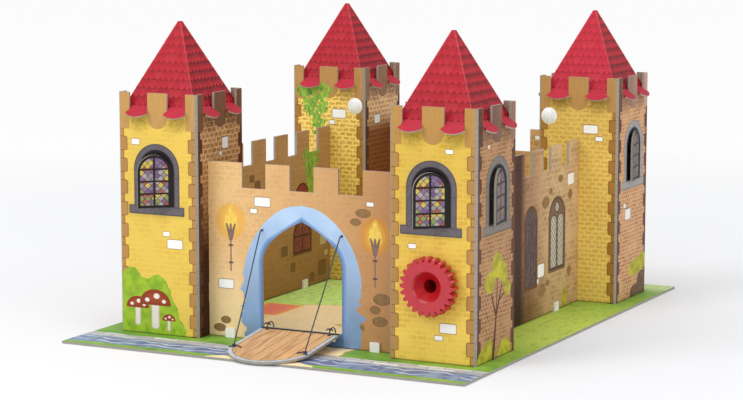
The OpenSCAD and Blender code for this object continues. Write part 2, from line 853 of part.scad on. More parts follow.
// The gear with its hollow front and the tube that is its axle, in one moulding.
module winch_gear() {
    tip_r = gear_d / 2;
    front = gear_back - gear_t;
    color("firebrick")
        on_axle()
            difference() {
                union() {
                    intersection() {
                        translate([0, 0, front])
                            linear_extrude(gear_t)
                                gear_outline();
                        rotate_extrude()
                            polygon([
                                [0, front],
                                [tip_r - tooth_bevel, front],
                                [tip_r, front + tooth_bevel],
                                [tip_r, gear_back - tooth_bevel],
                                [tip_r - tooth_bevel, gear_back],
                                [0, gear_back]
                            ]);
                    }
                    translate([0, 0, gear_back - eps])
                        cylinder(d = axle_d, h = spool_back - gear_back + eps);
                }
                translate([0, 0, front - eps])
                    cylinder(d = bore_d, h = spool_back - front + 2 * eps);
                translate([0, 0, front])
                    cylinder(d1 = hollow_d, d2 = bore_d, h = hollow_depth);
            }
}

// The bush that carries the axle in the tower's front face.
module axle_bush() {
    color("white")
        on_axle()
            difference() {
                union() {
                    translate([0, 0, -bush_flange_t])
                        cylinder(d = bush_flange_d, h = bush_flange_t);
                    cylinder(d = bush_d, h = spool_front - end_play);
                }
                translate([0, 0, -bush_flange_t - eps])
                    cylinder(d = axle_d + 2 * axle_clear, h = spool_front + bush_flange_t + 2 * eps);
            }
}

module bush_ring() {
    color("white")
        on_axle()
            translate([0, 0, card_t])
                difference() {
                    cylinder(d = bush_flange_d, h = bush_ring_t);
                    translate([0, 0, -eps])
                        cylinder(d = bush_d, h = bush_ring_t + 2 * eps);
                }
}

module winch_spool() {
    color("ivory")
        on_axle()
            rotate_extrude()
                polygon([
                    [axle_d / 2, spool_front],
                    [spool_flange_d / 2, spool_front],
                    [spool_flange_d / 2, spool_front + spool_flange_t],
                    [spool_core_d / 2, spool_front + spool_flange_t],
                    [spool_core_d / 2, spool_back - spool_flange_t],
                    [spool_flange_d / 2, spool_back - spool_flange_t],
                    [spool_flange_d / 2, spool_back],
                    [axle_d / 2, spool_back]
                ]);
}

// The cord wound on the spool, as one ridged sleeve.
module cord_winding() {
    turns = floor(groove_w / cord_d);
    wound = (winding_d - spool_core_d) / 2;
    color("black")
        on_axle()
            rotate_extrude()
                for (i = [0:turns - 1])
                    translate([spool_core_d / 2, spool_y + (i - (turns - 1) / 2) * cord_d]) {
                        translate([0, -cord_d / 2])
                            square([wound - cord_d / 2, cord_d]);
                        translate([wound - cord_d / 2, 0])
                            circle(d = cord_d, $fn = 24);
                    }
}

base_board();
tower_front_left();
tower_front_right();
tower_back_left();
tower_back_right();
roof(0, 0);  // roof_front_left
roof(1, 0);  // roof_front_right
roof(0, 1);  // roof_back_left
roof(1, 1);  // roof_back_right
front_wall();
plain_wall(1);  // right_wall
plain_wall(2);  // back_wall
plain_wall(3);  // left_wall
wall_clip(0, -1);  // front_clip_left
wall_clip(0, 1);  // front_clip_right
wall_clip(1, -1);  // right_clip_front
wall_clip(1, 1);  // right_clip_back
wall_clip(2, 1);  // back_clip_left
wall_clip(2, -1);  // back_clip_right
wall_clip(3, -1);  // left_clip_back
wall_clip(3, 1);  // left_clip_front
rivet(0);  // rivet_left
rivet(1);  // rivet_right
washer(0);  // washer_left
washer(1);  // washer_right
drawbridge();
hinge_loop(-1);  // hinge_loop_left
hinge_loop(1);  // hinge_loop_right
lifting_cord(-1);  // lifting_cord_left
lifting_cord(1);  // lifting_cord_right
knot(-1);  // knot_left
knot(1);  // knot_right
winch_cord(left_route);  // winch_cord_left
winch_cord(right_route);  // winch_cord_right
cord_peg();
axle_bush();
bush_ring();
winch_gear();
winch_spool();
cord_winding();
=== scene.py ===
# %% [markdown]
# # A cardboard castle with a drawbridge on cords
# The card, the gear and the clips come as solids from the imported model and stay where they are.
# This lesson adds what solids lack: twisted cords with their knots, the print on every card face,
# the grey core at the cut edges, and plastic that looks moulded. Blender works in metres here.

import json
import math

import bpy
from mathutils import Euler, Matrix, Vector


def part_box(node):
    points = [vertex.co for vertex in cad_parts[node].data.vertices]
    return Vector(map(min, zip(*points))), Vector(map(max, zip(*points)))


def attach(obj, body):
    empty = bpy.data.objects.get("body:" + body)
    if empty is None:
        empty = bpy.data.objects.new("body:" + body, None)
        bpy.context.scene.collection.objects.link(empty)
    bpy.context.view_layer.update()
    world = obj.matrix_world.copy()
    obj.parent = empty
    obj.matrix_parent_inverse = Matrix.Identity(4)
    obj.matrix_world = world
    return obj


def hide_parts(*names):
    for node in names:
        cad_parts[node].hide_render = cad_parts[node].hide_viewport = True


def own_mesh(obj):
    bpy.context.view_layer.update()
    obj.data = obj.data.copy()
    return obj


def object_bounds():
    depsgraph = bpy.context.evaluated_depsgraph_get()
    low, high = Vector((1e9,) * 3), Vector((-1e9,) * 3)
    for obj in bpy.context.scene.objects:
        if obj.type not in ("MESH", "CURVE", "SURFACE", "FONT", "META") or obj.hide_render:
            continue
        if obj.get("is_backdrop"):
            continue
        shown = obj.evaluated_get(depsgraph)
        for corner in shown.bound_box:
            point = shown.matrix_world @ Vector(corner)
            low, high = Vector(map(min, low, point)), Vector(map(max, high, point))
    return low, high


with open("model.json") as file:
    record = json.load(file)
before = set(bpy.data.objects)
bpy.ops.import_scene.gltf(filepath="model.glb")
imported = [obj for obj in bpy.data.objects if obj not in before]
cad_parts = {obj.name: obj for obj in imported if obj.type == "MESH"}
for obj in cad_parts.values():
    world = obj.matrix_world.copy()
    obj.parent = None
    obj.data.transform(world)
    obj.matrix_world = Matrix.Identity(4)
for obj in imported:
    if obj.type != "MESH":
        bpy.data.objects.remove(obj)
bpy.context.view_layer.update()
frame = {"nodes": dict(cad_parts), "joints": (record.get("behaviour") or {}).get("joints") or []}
scene = bpy.context.scene
MM = 0.001

# %% [markdown]
# ## The camera
# The photograph was taken from the right, a little above the battlements, with a long lens. A camera
# could be aimed by eye, but the tower corners in the picture fix its place, its turn and its lens, so
# these are written down as they were worked out, and every later step can be judged against the picture.

# %% Place the camera
CAMERA_PLACE = (0.8902, -1.7843, 0.379)
CAMERA_YAW = 0.4689
CAMERA_DIP = 0.1387
LENS_MM = 113.13

bpy.ops.object.select_all(action="DESELECT")
bpy.ops.object.camera_add(location=CAMERA_PLACE, rotation=(math.pi / 2 - CAMERA_DIP, 0, CAMERA_YAW))
camera = bpy.context.object
camera.name = "camera"
camera.data.lens = LENS_MM
camera.data.sensor_width = 36
camera.data.clip_end = 20
scene.camera = camera
print("camera at", [round(x, 3) for x in camera.location], "lens", LENS_MM, "mm")

# %% [markdown]
# ## A twisted cord
# The cord is thin and limp, three strands laid round each other. A round tube with a painted stripe
# would look smooth at its rim, so the strands are real: the tube's section has three lobes, and it
# turns as it goes along the route. The route is a few given points, with its corners rounded.

# %% A tool that lays a cord along a route
CORD_D = 1.1 * MM
STRANDS = 3
STRAND_DEPTH = 0.22
LAY_LENGTH = 3.4 * MM
RING_STEP = 0.3 * MM
RING_SIDES = 15
CURVE_STEPS = 8


def rounded(route, reach):
    """The route with each inner corner turned into a curve that starts `reach` before it."""
    points = [Vector(p) for p in route]
    path = [points[0]]
    for before, corner, after in zip(points, points[1:], points[2:]):
        back = min(reach, (before - corner).length / 2)
        ahead = min(reach, (after - corner).length / 2)
        start = corner + (before - corner).normalized() * back
        end = corner + (after - corner).normalized() * ahead
        for i in range(CURVE_STEPS + 1):
            t = i / CURVE_STEPS
            path.append(start * (1 - t) ** 2 + corner * 2 * t * (1 - t) + end * t**2)
    return path + [points[-1]]


def evenly(path, step):
    """The same line with its points a step apart."""
    lengths = [0.0]
    for a, b in zip(path, path[1:]):
        lengths.append(lengths[-1] + (b - a).length)
    count = max(2, round(lengths[-1] / step))
    spaced, k = [], 0
    for i in range(count + 1):
        along = lengths[-1] * i / count
        while k < len(path) - 2 and lengths[k + 1] < along:
            k += 1
        span = max(lengths[k + 1] - lengths[k], 1e-12)
        spaced.append(path[k].lerp(path[k + 1], (along - lengths[k]) / span))
    return spaced, lengths[-1]


def lay_cord(name, path, closed=False):
    """A mesh of three strands twisted along a path, with its UV map along and around the cord."""
    path, length = evenly(path, RING_STEP)
    if closed:
        path = path[:-1]
    count = len(path)
    way = (path[1] - path[0]).normalized()
    across = way.orthogonal().normalized()
    points, turns = [], round(length / LAY_LENGTH) if closed else length / LAY_LENGTH
    for i, p in enumerate(path):
        ahead = path[(i + 1) % count] if closed else path[min(i + 1, count - 1)]
        behind = path[i - 1] if closed or i else path[0]
        way = (ahead - behind).normalized()
        across = (across - way * across.dot(way)).normalized()
        above = way.cross(across)
        twist = math.tau * turns * i / count
        for k in range(RING_SIDES):
            angle = math.tau * k / RING_SIDES
            lobe = abs(math.cos(STRANDS / 2 * (angle - twist)))
            radius = CORD_D / 2 * (1 - STRAND_DEPTH * (1 - lobe))
            points.append(p + (across * math.cos(angle) + above * math.sin(angle)) * radius)
    rings = range(count if closed else count - 1)
    faces, spots = [], []
    for i in rings:
        for k in range(RING_SIDES):
            n, up = (k + 1) % RING_SIDES, (i + 1) % count
            faces.append((i * RING_SIDES + k, i * RING_SIDES + n, up * RING_SIDES + n, up * RING_SIDES + k))
            around = [k / RING_SIDES, (k + 1) / RING_SIDES]
            along = [length * i / count / LAY_LENGTH, length * (i + 1) / count / LAY_LENGTH]
            spots += [
                (along[0], around[0]), (along[0], around[1]), (along[1], around[1]), (along[1], around[0]),
            ]
    if not closed:
        faces.append(tuple(range(RING_SIDES - 1, -1, -1)))
        faces.append(tuple((count - 1) * RING_SIDES + k for k in range(RING_SIDES)))
        spots += [(0.0, k / RING_SIDES) for k in range(2 * RING_SIDES)]
    mesh = bpy.data.meshes.new(name)
    mesh.from_pydata(points, [], faces)
    lay = mesh.uv_layers.new(name="lay")
    for corner, spot in zip(lay.data, spots):
        corner.uv = spot
    for polygon in mesh.polygons:
        polygon.use_smooth = True
    made = bpy.data.objects.new(name, mesh)
    scene.collection.objects.link(made)
    return made, path, length


# %% [markdown]
# ## Where the drawbridge is
# The cords end on the drawbridge, so its hinge line, its slope and the two knots are found first. They
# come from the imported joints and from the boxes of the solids, and not from numbers typed in again.

# %% Measure the drawbridge
joints = {joint["name"]: joint for joint in frame["joints"]}
HINGE = Vector(joints["drawbridge_hinge"]["pos_m"])
RAISED = math.radians(joints["drawbridge_hinge"]["range_deg"][1])
KNOT_REACH = 53 * MM
KNOT_OUT = 32 * MM
KNOT_LIFT = 2.6 * MM
BRIDGE_LENGTH = 81 * MM
bridge_low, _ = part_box("drawbridge")
BRIDGE_SLOPE = math.asin((HINGE.z - bridge_low.z - MM) / BRIDGE_LENGTH)
ENDS = {"left": -1, "right": 1}


def on_bridge(across, along, above):
    """A point on the lowered drawbridge: across from its middle, out from the hinge, above mid plane."""
    slope_cos, slope_sin = math.cos(BRIDGE_SLOPE), math.sin(BRIDGE_SLOPE)
    return HINGE + Vector(
        (across, -along * slope_cos - above * slope_sin, -along * slope_sin + above * slope_cos)
    )


def when_raised(point):
    """Where a point of the drawbridge is when it is pulled all the way up."""
    return HINGE + Matrix.Rotation(-RAISED, 3, "X") @ (point - HINGE)


print(
    "drawbridge slopes", round(math.degrees(BRIDGE_SLOPE), 1),
    "degrees, and rises by", round(math.degrees(RAISED)),
)

# %% [markdown]
# ## Knots
# Each lifting cord ends in an overhand knot on the drawbridge, with two loose tails. A ball would do
# from far away. Here the cord itself runs through the shape of an overhand knot, drawn tight, and its
# tails come to rest on the card. The knot belongs to the drawbridge and swings with it.

# %% Tie the knots on the drawbridge
KNOT_SIZE = 1.05 * MM
TAIL_OUT = 3.4 * MM
TAIL_IN = 7 * MM
KNOT_START, KNOT_RUN, KNOT_STEPS = 0.35, 5.6, 40
KNOT_BEND = 0.6 * MM


def knot_curve(t):
    """A point on a trefoil, the closed form of an overhand knot, about three units wide."""
    return Vector((math.sin(t) + 2 * math.sin(2 * t), math.cos(t) - 2 * math.cos(2 * t), -math.sin(3 * t)))


def knot_route(middle, first_tail, last_tail, size):
    """One tail, once through the knot, and the other tail."""
    steps = [KNOT_START + KNOT_RUN * i / KNOT_STEPS for i in range(KNOT_STEPS + 1)]
    turns = [middle + knot_curve(t) * size / 2 for t in steps]
    return [*first_tail, *turns, *last_tail]


knots = {}
for end, sign in ENDS.items():
    middle = on_bridge(sign * KNOT_OUT, KNOT_REACH, KNOT_LIFT)
    low = MM + CORD_D / 2
    outer = [
        on_bridge(sign * (KNOT_OUT + TAIL_OUT), KNOT_REACH + 2 * MM, low),
        on_bridge(sign * (KNOT_OUT + TAIL_OUT / 2), KNOT_REACH + 2 * MM, low + 0.4 * MM),
    ]
    inner = [
        on_bridge(sign * (KNOT_OUT - TAIL_IN / 2), KNOT_REACH - 0.5 * MM, low + 0.5 * MM),
        on_bridge(sign * (KNOT_OUT - TAIL_IN), KNOT_REACH + 0.6 * MM, low),
    ]
    path = rounded(knot_route(middle, outer, inner, KNOT_SIZE), KNOT_BEND)
    knots[end], _, length = lay_cord("bridge_knot_" + end, path)
    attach(knots[end], "drawbridge")
    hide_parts("knot_" + end)
    print(knots[end].name, "takes", round(length / MM), "mm of cord")

# %% [markdown]
# ## Lifting cords
# A lifting cord comes out of a hole in the arch, bends over its edge and runs down to its knot, nearly
# straight, because the drawbridge's weight hangs on it. When the gear pulls the drawbridge up, most of
# the cord goes in through the hole. A mesh can't slide into a wall; here each cord gets a mesh of its
# own, and how far its knot travels is worked out.

# %% Hang the lifting cords
HOLE_OUT = 36.4 * MM
HOLE_UP = 93 * MM
MOUTH_GAP = 0.85 * MM
SAG = 0.8 * MM
LIP_STEP = Vector((0, -2.4 * MM, 0.3 * MM))
CORD_BEND = 30 * MM
wall_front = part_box("front_wall")[0].y
for end, sign in ENDS.items():
    mouth = Vector((HINGE.x + sign * HOLE_OUT, wall_front - MOUTH_GAP, HOLE_UP))
    knot = on_bridge(sign * KNOT_OUT, KNOT_REACH, KNOT_LIFT)
    lip = mouth + LIP_STEP
    middle = lip.lerp(knot, 0.5) + Vector((0, SAG / 2, -SAG))
    stop = knot.lerp(lip, KNOT_SIZE / (knot - lip).length)
    route = rounded([mouth, lip, middle, stop], CORD_BEND)
    cord, path, length = lay_cord("lifting_line_" + end, route)
    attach(cord, "castle")
    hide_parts("lifting_cord_" + end)
    travel = knot - when_raised(knot)
    way = travel.normalized()
    1 - travel.length / (knot - mouth).dot(way)
    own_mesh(cord)
    print(cord.name, round(length / MM), "mm, of which", round(travel.length / MM), "mm are pulled in")

# %% [markdown]
# ## Cords behind the wall
# Inside the castle both cords run to the spool behind the gear: the left one over a peg above the
# arch, the right one straight. They show from above and from the back. Their routes are the ones that
# the solids have, point for point, so they pass the same peg and the same slot in the tower.

# %% Run the cords to the spool
GEAR_AXIS = Vector(joints["winch_turn"]["pos_m"])
wall_back = wall_front + 2 * MM
SPOOL_IN = 24.5 * MM
WIND_R = 11.05 * MM
WIND_APART = 1.5 * MM
BEHIND = wall_back + 1.9 * MM
SADDLE_UP = 111.9 * MM
PEG_BEND = 2.2 * MM
groove = Vector((GEAR_AXIS.x, GEAR_AXIS.y + SPOOL_IN, GEAR_AXIS.z + WIND_R))
inner_routes = {
    "left": [
        (HINGE.x - HOLE_OUT, wall_front - MOUTH_GAP, HOLE_UP),
        (HINGE.x - HOLE_OUT, BEHIND, HOLE_UP),
        (HINGE.x, BEHIND, SADDLE_UP),
        (groove.x, groove.y - WIND_APART, groove.z),
    ],
    "right": [
        (HINGE.x + HOLE_OUT, wall_front - MOUTH_GAP, HOLE_UP),
        (HINGE.x + HOLE_OUT, BEHIND, HOLE_UP),
        (groove.x, groove.y + WIND_APART, groove.z),
    ],
}
for end, route in inner_routes.items():
    cord, path, length = lay_cord("winch_line_" + end, rounded(route, PEG_BEND))
    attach(cord, "castle")
    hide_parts("winch_cord_" + end)
    print(cord.name, round(length / MM), "mm")

# %% [markdown]
# ## Hinge loops and the winding
# The drawbridge hangs on two short loops of the same cord, each tied through the wall and the card.
# A loop is a ring round the hinge line, so it can stay still while the drawbridge swings. The winding
# on the spool is a helix, worked out turn by turn, and turns with the gear.

# %% Tie the hinge loops and wind the spool
LOOP_R = 5.5 * MM
LOOP_OUT = 28.5 * MM
LOOP_KNOT_TURN = 2.2
LOOP_STEPS = 48
TIE_SIZE = 0.8 * MM
for end, sign in ENDS.items():
    centre = HINGE + Vector((sign * LOOP_OUT, 0, 0))
    angles = [math.tau * i / LOOP_STEPS for i in range(LOOP_STEPS + 1)]
    ring = [centre + Vector((0, math.cos(angle), math.sin(angle))) * LOOP_R for angle in angles]
    loop, _, length = lay_cord("hinge_ring_" + end, ring, closed=True)
    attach(loop, "castle")
    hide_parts("hinge_loop_" + end)
    seat = centre + Vector((0, math.cos(LOOP_KNOT_TURN), math.sin(LOOP_KNOT_TURN))) * (LOOP_R + 0.5 * MM)
    tails = []
    for side in (-1, 1):
        loose = seat + Vector((side * 3.0 * MM, -1.5 * MM, -1.0 * MM))
        tails.append([loose, seat + Vector((side * 1.7 * MM, -0.7 * MM, 0.4 * MM))])
    path = rounded(knot_route(seat, tails[0], tails[1][::-1], TIE_SIZE), KNOT_BEND)
    tie, _, _ = lay_cord("hinge_knot_" + end, path)
    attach(tie, "castle")
    print(loop.name, "round", round(length / MM), "mm")

COIL_R = 9.65 * MM
COIL_TURNS = 4.5
COIL_STEPS = 36
coil = []
for i in range(round(COIL_TURNS * COIL_STEPS) + 1):
    angle = math.tau * i / COIL_STEPS
    along = (i / COIL_STEPS - COIL_TURNS / 2) * 1.05 * CORD_D
    coil.append(GEAR_AXIS + Vector((COIL_R * math.sin(angle), SPOOL_IN + along, COIL_R * math.cos(angle))))
winding, _, length = lay_cord("spool_winding", coil)
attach(winding, "winch")
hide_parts("cord_winding")
print("winding holds", round(length / MM), "mm of cord")

# %% [markdown]
# ## Print as shader nodes
# Every card face is printed. A picture pasted on would blur close up, so the print is drawn with shader
# nodes instead: each motif is a distance to its edge, and a mask where that distance is below zero.
# Placing hundreds of Math nodes by name is tiring, so a small class lets plain arithmetic add them.

# %% A class for values in a node tree
def adds(operation):
    """A method that adds a Math node of one kind."""
    return lambda value, *others: value.math(operation, *others)


class Value:
    """One output in a node tree. Arithmetic on it adds Math nodes and gives a new Value."""

    def __init__(self, tree, socket):
        self.tree, self.socket = tree, socket

    def math(self, operation, *others, clamp=False):
        return put(self.tree, "Math", dict(enumerate((self, *others))), operation=operation, use_clamp=clamp)

    def __rsub__(self, other):
        return put(self.tree, "Math", {0: other, 1: self}, operation="SUBTRACT")

    def __neg__(self):
        return self * -1

    __add__ = adds("ADD")
    __sub__ = adds("SUBTRACT")
    __mul__ = adds("MULTIPLY")
    __truediv__ = adds("DIVIDE")
    __abs__ = adds("ABSOLUTE")
    least = adds("MINIMUM")
    most = adds("MAXIMUM")
    whole = adds("FLOOR")
    rest = adds("FRACT")

    def inside(self, soft=0.35):
        """1 where this distance is below zero and 0 where it is above, over a soft edge."""
        return self.math("MULTIPLY_ADD", -1 / soft, 0.5, clamp=True)

    def line(self, width, soft=0.35):
        """1 along the line where this distance is zero."""
        return (abs(self) - width / 2).inside(soft)

    def ramp(self, start, end, low=0.0, high=1.0):
        """From low at start to high at end, and level beyond them."""
        return put(self.tree, "MapRange", {0: self, 1: start, 2: end, 3: low, 4: high})

    def also(self, name):
        """Another output of the node that this one comes from."""
        return Value(self.tree, self.socket.node.outputs[name])


# %% Tools that put nodes into a tree
def srgb(code):
    """A screen colour such as "#c81e2e" as the linear values that a shader takes."""
    shares = [int(code[i : i + 2], 16) / 255 for i in (1, 3, 5)]
    return (*[s / 12.92 if s <= 0.04045 else ((s + 0.055) / 1.055) ** 2.4 for s in shares], 1.0)


def wire(tree, value, socket):
    """Links a Value to an input, or sets the input to a plain number, vector or screen colour."""
    if isinstance(value, Value):
        tree.links.new(value.socket, socket)
    else:
        socket.default_value = srgb(value) if isinstance(value, str) else value


def put(tree, kind, inputs, out=0, **settings):
    """Adds a node, wires its inputs and gives one of its outputs."""
    made = tree.nodes.new("ShaderNode" + kind)
    for name, setting in settings.items():
        setattr(made, name, setting)
    for slot, value in inputs.items():
        wire(tree, value, made.inputs[slot])
    return Value(tree, made.outputs[out]) if made.outputs else None


def split(point):
    """The x and y of a point on a face."""
    x = put(point.tree, "SeparateXYZ", {0: point})
    return x, x.also("Y")


def join(x, y):
    """A point on a face from its x and y."""
    return put(x.tree, "CombineXYZ", {0: x, 1: y})


def span(x, y):
    """The length of a step x across and y up."""
    return (x * x + y * y).math("SQRT")


def stretched(point, by):
    """The point with its three numbers multiplied, so that a pattern stretches the other way."""
    return put(point.tree, "VectorMath", {0: point, 1: by}, operation="MULTIPLY")


def grain(point, scale, detail=2.0, out=0):
    """Noise over a face, with about one blob in every 1 / scale millimetres."""
    inputs = {"Vector": point, "Scale": scale, "Detail": detail, "Roughness": 0.55}
    return put(point.tree, "TexNoise", inputs, out=out, noise_dimensions="3D")


def chance(tree, count, dimensions):
    """A number from 0 to 1 that is drawn once for each whole count."""
    return put(
        tree, "TexWhiteNoise", {"W" if dimensions == "1D" else "Vector": count}, noise_dimensions=dimensions
    )


def shaken(point, scale, amount):
    """The point moved about by noise, by at most half of amount."""
    middle = {0: grain(point, scale, out=1), 1: (0.5, 0.5, 0.5)}
    sway = put(point.tree, "VectorMath", middle, operation="SUBTRACT")
    return put(
        point.tree, "VectorMath", {0: sway, 1: (amount, amount, 0), 2: point}, operation="MULTIPLY_ADD"
    )


def paint(below, above, mask, mode="MIX"):
    """Lays one colour over another where a mask is 1."""
    tree = next(part.tree for part in (mask, below, above) if isinstance(part, Value))
    return put(tree, "Mix", {0: mask, 6: below, 7: above}, out=2, data_type="RGBA", blend_type=mode)


# %% Tools for node groups
def node_group(inputs, outputs):
    """Turns a function that draws at a point into a node group with these further inputs and outputs."""
    inputs = {"point": "Vector", **inputs}

    def build(draw):
        group = bpy.data.node_groups.new(draw.__name__.replace("_", " "), "ShaderNodeTree")
        for direction, sockets in (("INPUT", inputs), ("OUTPUT", outputs)):
            for label, kind in sockets.items():
                group.interface.new_socket(label, in_out=direction, socket_type="NodeSocket" + kind)
        source = group.nodes.new("NodeGroupInput")
        drawn = draw(**{label: Value(group, source.outputs[label]) for label in inputs})
        result = group.nodes.new("NodeGroupOutput")
        for label in outputs:
            wire(group, drawn[label], result.inputs[label])
        return group

    return build


def place(group, point, **inputs):
    """Puts a node group at a point into the point's tree and gives its outputs by name."""
    made = point.tree.nodes.new("ShaderNodeGroup")
    made.node_tree = group
    for label, value in {"point": point, **inputs}.items():
        wire(point.tree, value, made.inputs[label])
    return {output.name: Value(point.tree, output) for output in made.outputs}


print("node tools are ready")

# %% [markdown]
# ## Outlines that the print shares
# Stones, sills, windows, toadstools and torches are all made of three outlines: a block with round
# corners, an oval, and an arch with a round head. Each is a node group that gives the distance to its
# edge in millimetres, so one group draws the fill and the ink line round it.

# %% Groups for blocks, ovals and arches
def round_corner(over_x, over_y, corner):
    """The distance to a block with round corners, from the distances to two lines a corner inside it."""
    return span(over_x.most(0), over_y.most(0)) + over_x.most(over_y).least(0) - corner


@node_group({"centre": "Vector", "size": "Vector", "corner": "Float"}, {"edge": "Float"})
def block_outline(point, centre, size, corner):
    (x, y), (middle_x, middle_y), (width, height) = split(point), split(centre), split(size)
    over_x = abs(x - middle_x) - width / 2 + corner
    over_y = abs(y - middle_y) - height / 2 + corner
    return {"edge": round_corner(over_x, over_y, corner)}


@node_group({"centre": "Vector", "size": "Vector"}, {"edge": "Float"})
def oval_outline(point, centre, size):
    (x, y), (middle_x, middle_y), (width, height) = split(point), split(centre), split(size)
    reach = span((x - middle_x) / width * 2, (y - middle_y) / height * 2)
    return {"edge": (reach - 1) * width.least(height) / 2}


@node_group({"centre": "Vector", "half": "Float", "foot": "Float"}, {"edge": "Float"})
def arch_outline(point, centre, half, foot):
    (x, y), (middle_x, spring) = split(point), split(centre)
    return {"edge": (span(x - middle_x, (y - spring).most(0)) - half).most(foot - y)}


def block(point, x, y, width, height, corner=0.8):
    return place(block_outline, point, centre=(x, y, 0), size=(width, height, 0), corner=corner)["edge"]


def oval(point, x, y, width, height):
    return place(oval_outline, point, centre=(x, y, 0), size=(width, height, 0))["edge"]


def arch(point, x, spring, half, foot):
    return place(arch_outline, point, centre=(x, spring, 0), half=half, foot=foot)["edge"]


def joined(edges):
    """The outline round several outlines."""
    whole = edges[0]
    for edge in edges[1:]:
        whole = whole.least(edge)
    return whole


print("outlines:", block_outline.name, oval_outline.name, arch_outline.name)

# %% [markdown]
# ## Bricks, corner stones, leaded glass and leaves
# These four patterns cover most of the castle. Bricks come from Blender's Brick Texture on a point that
# noise has shaken, so that no joint is ruled. Corner stones alternate long and short up a tower's edge.
# Leaded glass is a lattice of diamonds with a colour for each cell, and leaves are the cells of a
# Voronoi pattern measured in a way that makes them pointed.

# %% Groups for the four patterns
TOWER_HALF = 37.5
TOWER_TOP = 200.0
STONE_PITCH = 18.1
STONE_START = 7.2
LONG_W, LONG_H = 8.2, 11.4
SHORT_W = 4.9
TOP_W, TOP_H = 10.4, 30.0
STONE_ROUND = 1.6
GLASS_CELL = 5.3
LEAD_HALF = 0.055
GLASS_HUES = ("#74527c", "#ceb842", "#968a8e", "#a65236", "#84924c", "#7e668e", "#aea49c")


@node_group({"size": "Vector", "gap": "Float"}, {"joint": "Float", "tint": "Float"})
def shaken_bricks(point, size, gap):
    width, height = split(size)
    inputs = {
        "Vector": shaken(point, 0.22, 1.5), "Color1": (0, 0, 0, 1), "Color2": (1, 1, 1, 1),
        "Mortar": (0.5, 0.5, 0.5, 1), "Scale": 1.0, "Mortar Size": gap, "Mortar Smooth": 0.6,
        "Brick Width": width, "Row Height": height,
    }
    tint = put(point.tree, "TexBrick", inputs)
    return {"joint": tint.also("Fac"), "tint": tint}


@node_group({}, {"edge": "Float", "ink": "Float", "tint": "Float"})
def corner_stones(point):
    x, y = split(shaken(point, 0.3, 0.5))
    from_edge = TOWER_HALF - abs(x)
    course = (y - STONE_START) / STONE_PITCH
    row = course.rest() * STONE_PITCH
    over_x = from_edge - LONG_W + STONE_ROUND
    over_y = abs(row - LONG_H / 2) - LONG_H / 2 + STONE_ROUND
    short = from_edge - SHORT_W
    above = y - TOWER_TOP + TOP_H
    head = (from_edge - TOP_W).most(-above)
    stacked = round_corner(over_x, over_y, STONE_ROUND).least(short).most(above)
    joints = abs(row - LONG_H).least(row).least(STONE_PITCH - row)
    ink = (joints - 0.3).inside(0.5) * (short.inside() * above.inside())
    tint = chance(point.tree, course.whole() * 2 + (row - LONG_H).inside(0.01), "1D")
    return {"edge": stacked.least(head), "ink": ink.most(stacked.line(0.7, 0.5) * 0.8), "tint": tint}


@node_group({}, {"glass": "Color", "lead": "Float"})
def leaded_glass(point):
    x, y = split(point)
    one, two = (x + y) / GLASS_CELL, (x - y) / GLASS_CELL
    glass = put(point.tree, "ValToRGB", {0: chance(point.tree, join(one.whole(), two.whole()), "2D")})
    ramp = glass.socket.node.color_ramp
    ramp.interpolation = "CONSTANT"
    for i, hue in enumerate(GLASS_HUES):
        stop = ramp.elements[i] if i < 2 else ramp.elements.new(i / len(GLASS_HUES))
        stop.position = i / len(GLASS_HUES)
        stop.color = srgb(hue)
    near = 0.5 - abs(one.rest() - 0.5).most(abs(two.rest() - 0.5))
    return {"glass": glass, "lead": (near - LEAD_HALF).inside(0.05)}


@node_group({"size": "Float"}, {"edge": "Float", "tint": "Float"})
def pointed_leaves(point, size):
    tight = put(point.tree, "Math", {0: 1.0, 1: size}, operation="DIVIDE")
    inputs = {"Vector": shaken(point, 0.4, 1.0), "Scale": tight, "Exponent": 0.75}
    away = put(point.tree, "TexVoronoi", inputs, voronoi_dimensions="2D", distance="MINKOWSKI")
    return {"edge": away - 0.5, "tint": split(away.also("Color"))[0]}


print("patterns:", shaken_bricks.name, corner_stones.name, leaded_glass.name, pointed_leaves.name)

# %% [markdown]
# ## The card itself
# Under the ink is grey board, two millimetres thick, with a printed sheet on both sides. Print on
# board is never quite even: the ink is a little cloudy, fibres show as a fine grain, and the satin
# sheen changes with them. One group adds this to every printed face. Cut edges show the grey core.

# %% Pages to print on, and materials for bare board
FIBRE_DEPTH = 0.05 * MM


class Page(Value):
    """The print on one face: a point in millimetres, x to the right and y up, and the colour so far."""

    def __init__(self, material, point):
        super().__init__(point.tree, point.socket)
        self.material, self.colour = material, None
        self.x, self.y = split(point)

    def lay(self, colour, mask=None, mode="MIX"):
        """Lays a colour over the print where a mask is 1, or all over it."""
        self.colour = colour if mask is None else paint(self.colour, colour, mask, mode)

    def fill(self, colour, edge, soft=0.35):
        """Fills an outline with a colour."""
        self.lay(colour, edge.inside(soft))


@node_group({"colour": "Color"}, {"colour": "Color", "roughness": "Float", "height": "Float"})
def printed_card(point, colour):
    fibre, cloud = grain(point, 1.3, 4.0), grain(point, 0.035, 2.0)
    tone = fibre.ramp(0.3, 0.7, 0.95, 1.04) * cloud.ramp(0.3, 0.7, 0.965, 1.03)
    colour = paint(colour, tone, 1.0, "MULTIPLY")
    return {"colour": colour, "roughness": fibre.ramp(0.3, 0.7, 0.46, 0.6), "height": fibre}


def new_material(name):
    """A material with an empty node tree."""
    material = bpy.data.materials.new(name)
    material.use_nodes = True
    material.node_tree.nodes.clear()
    return material, material.node_tree


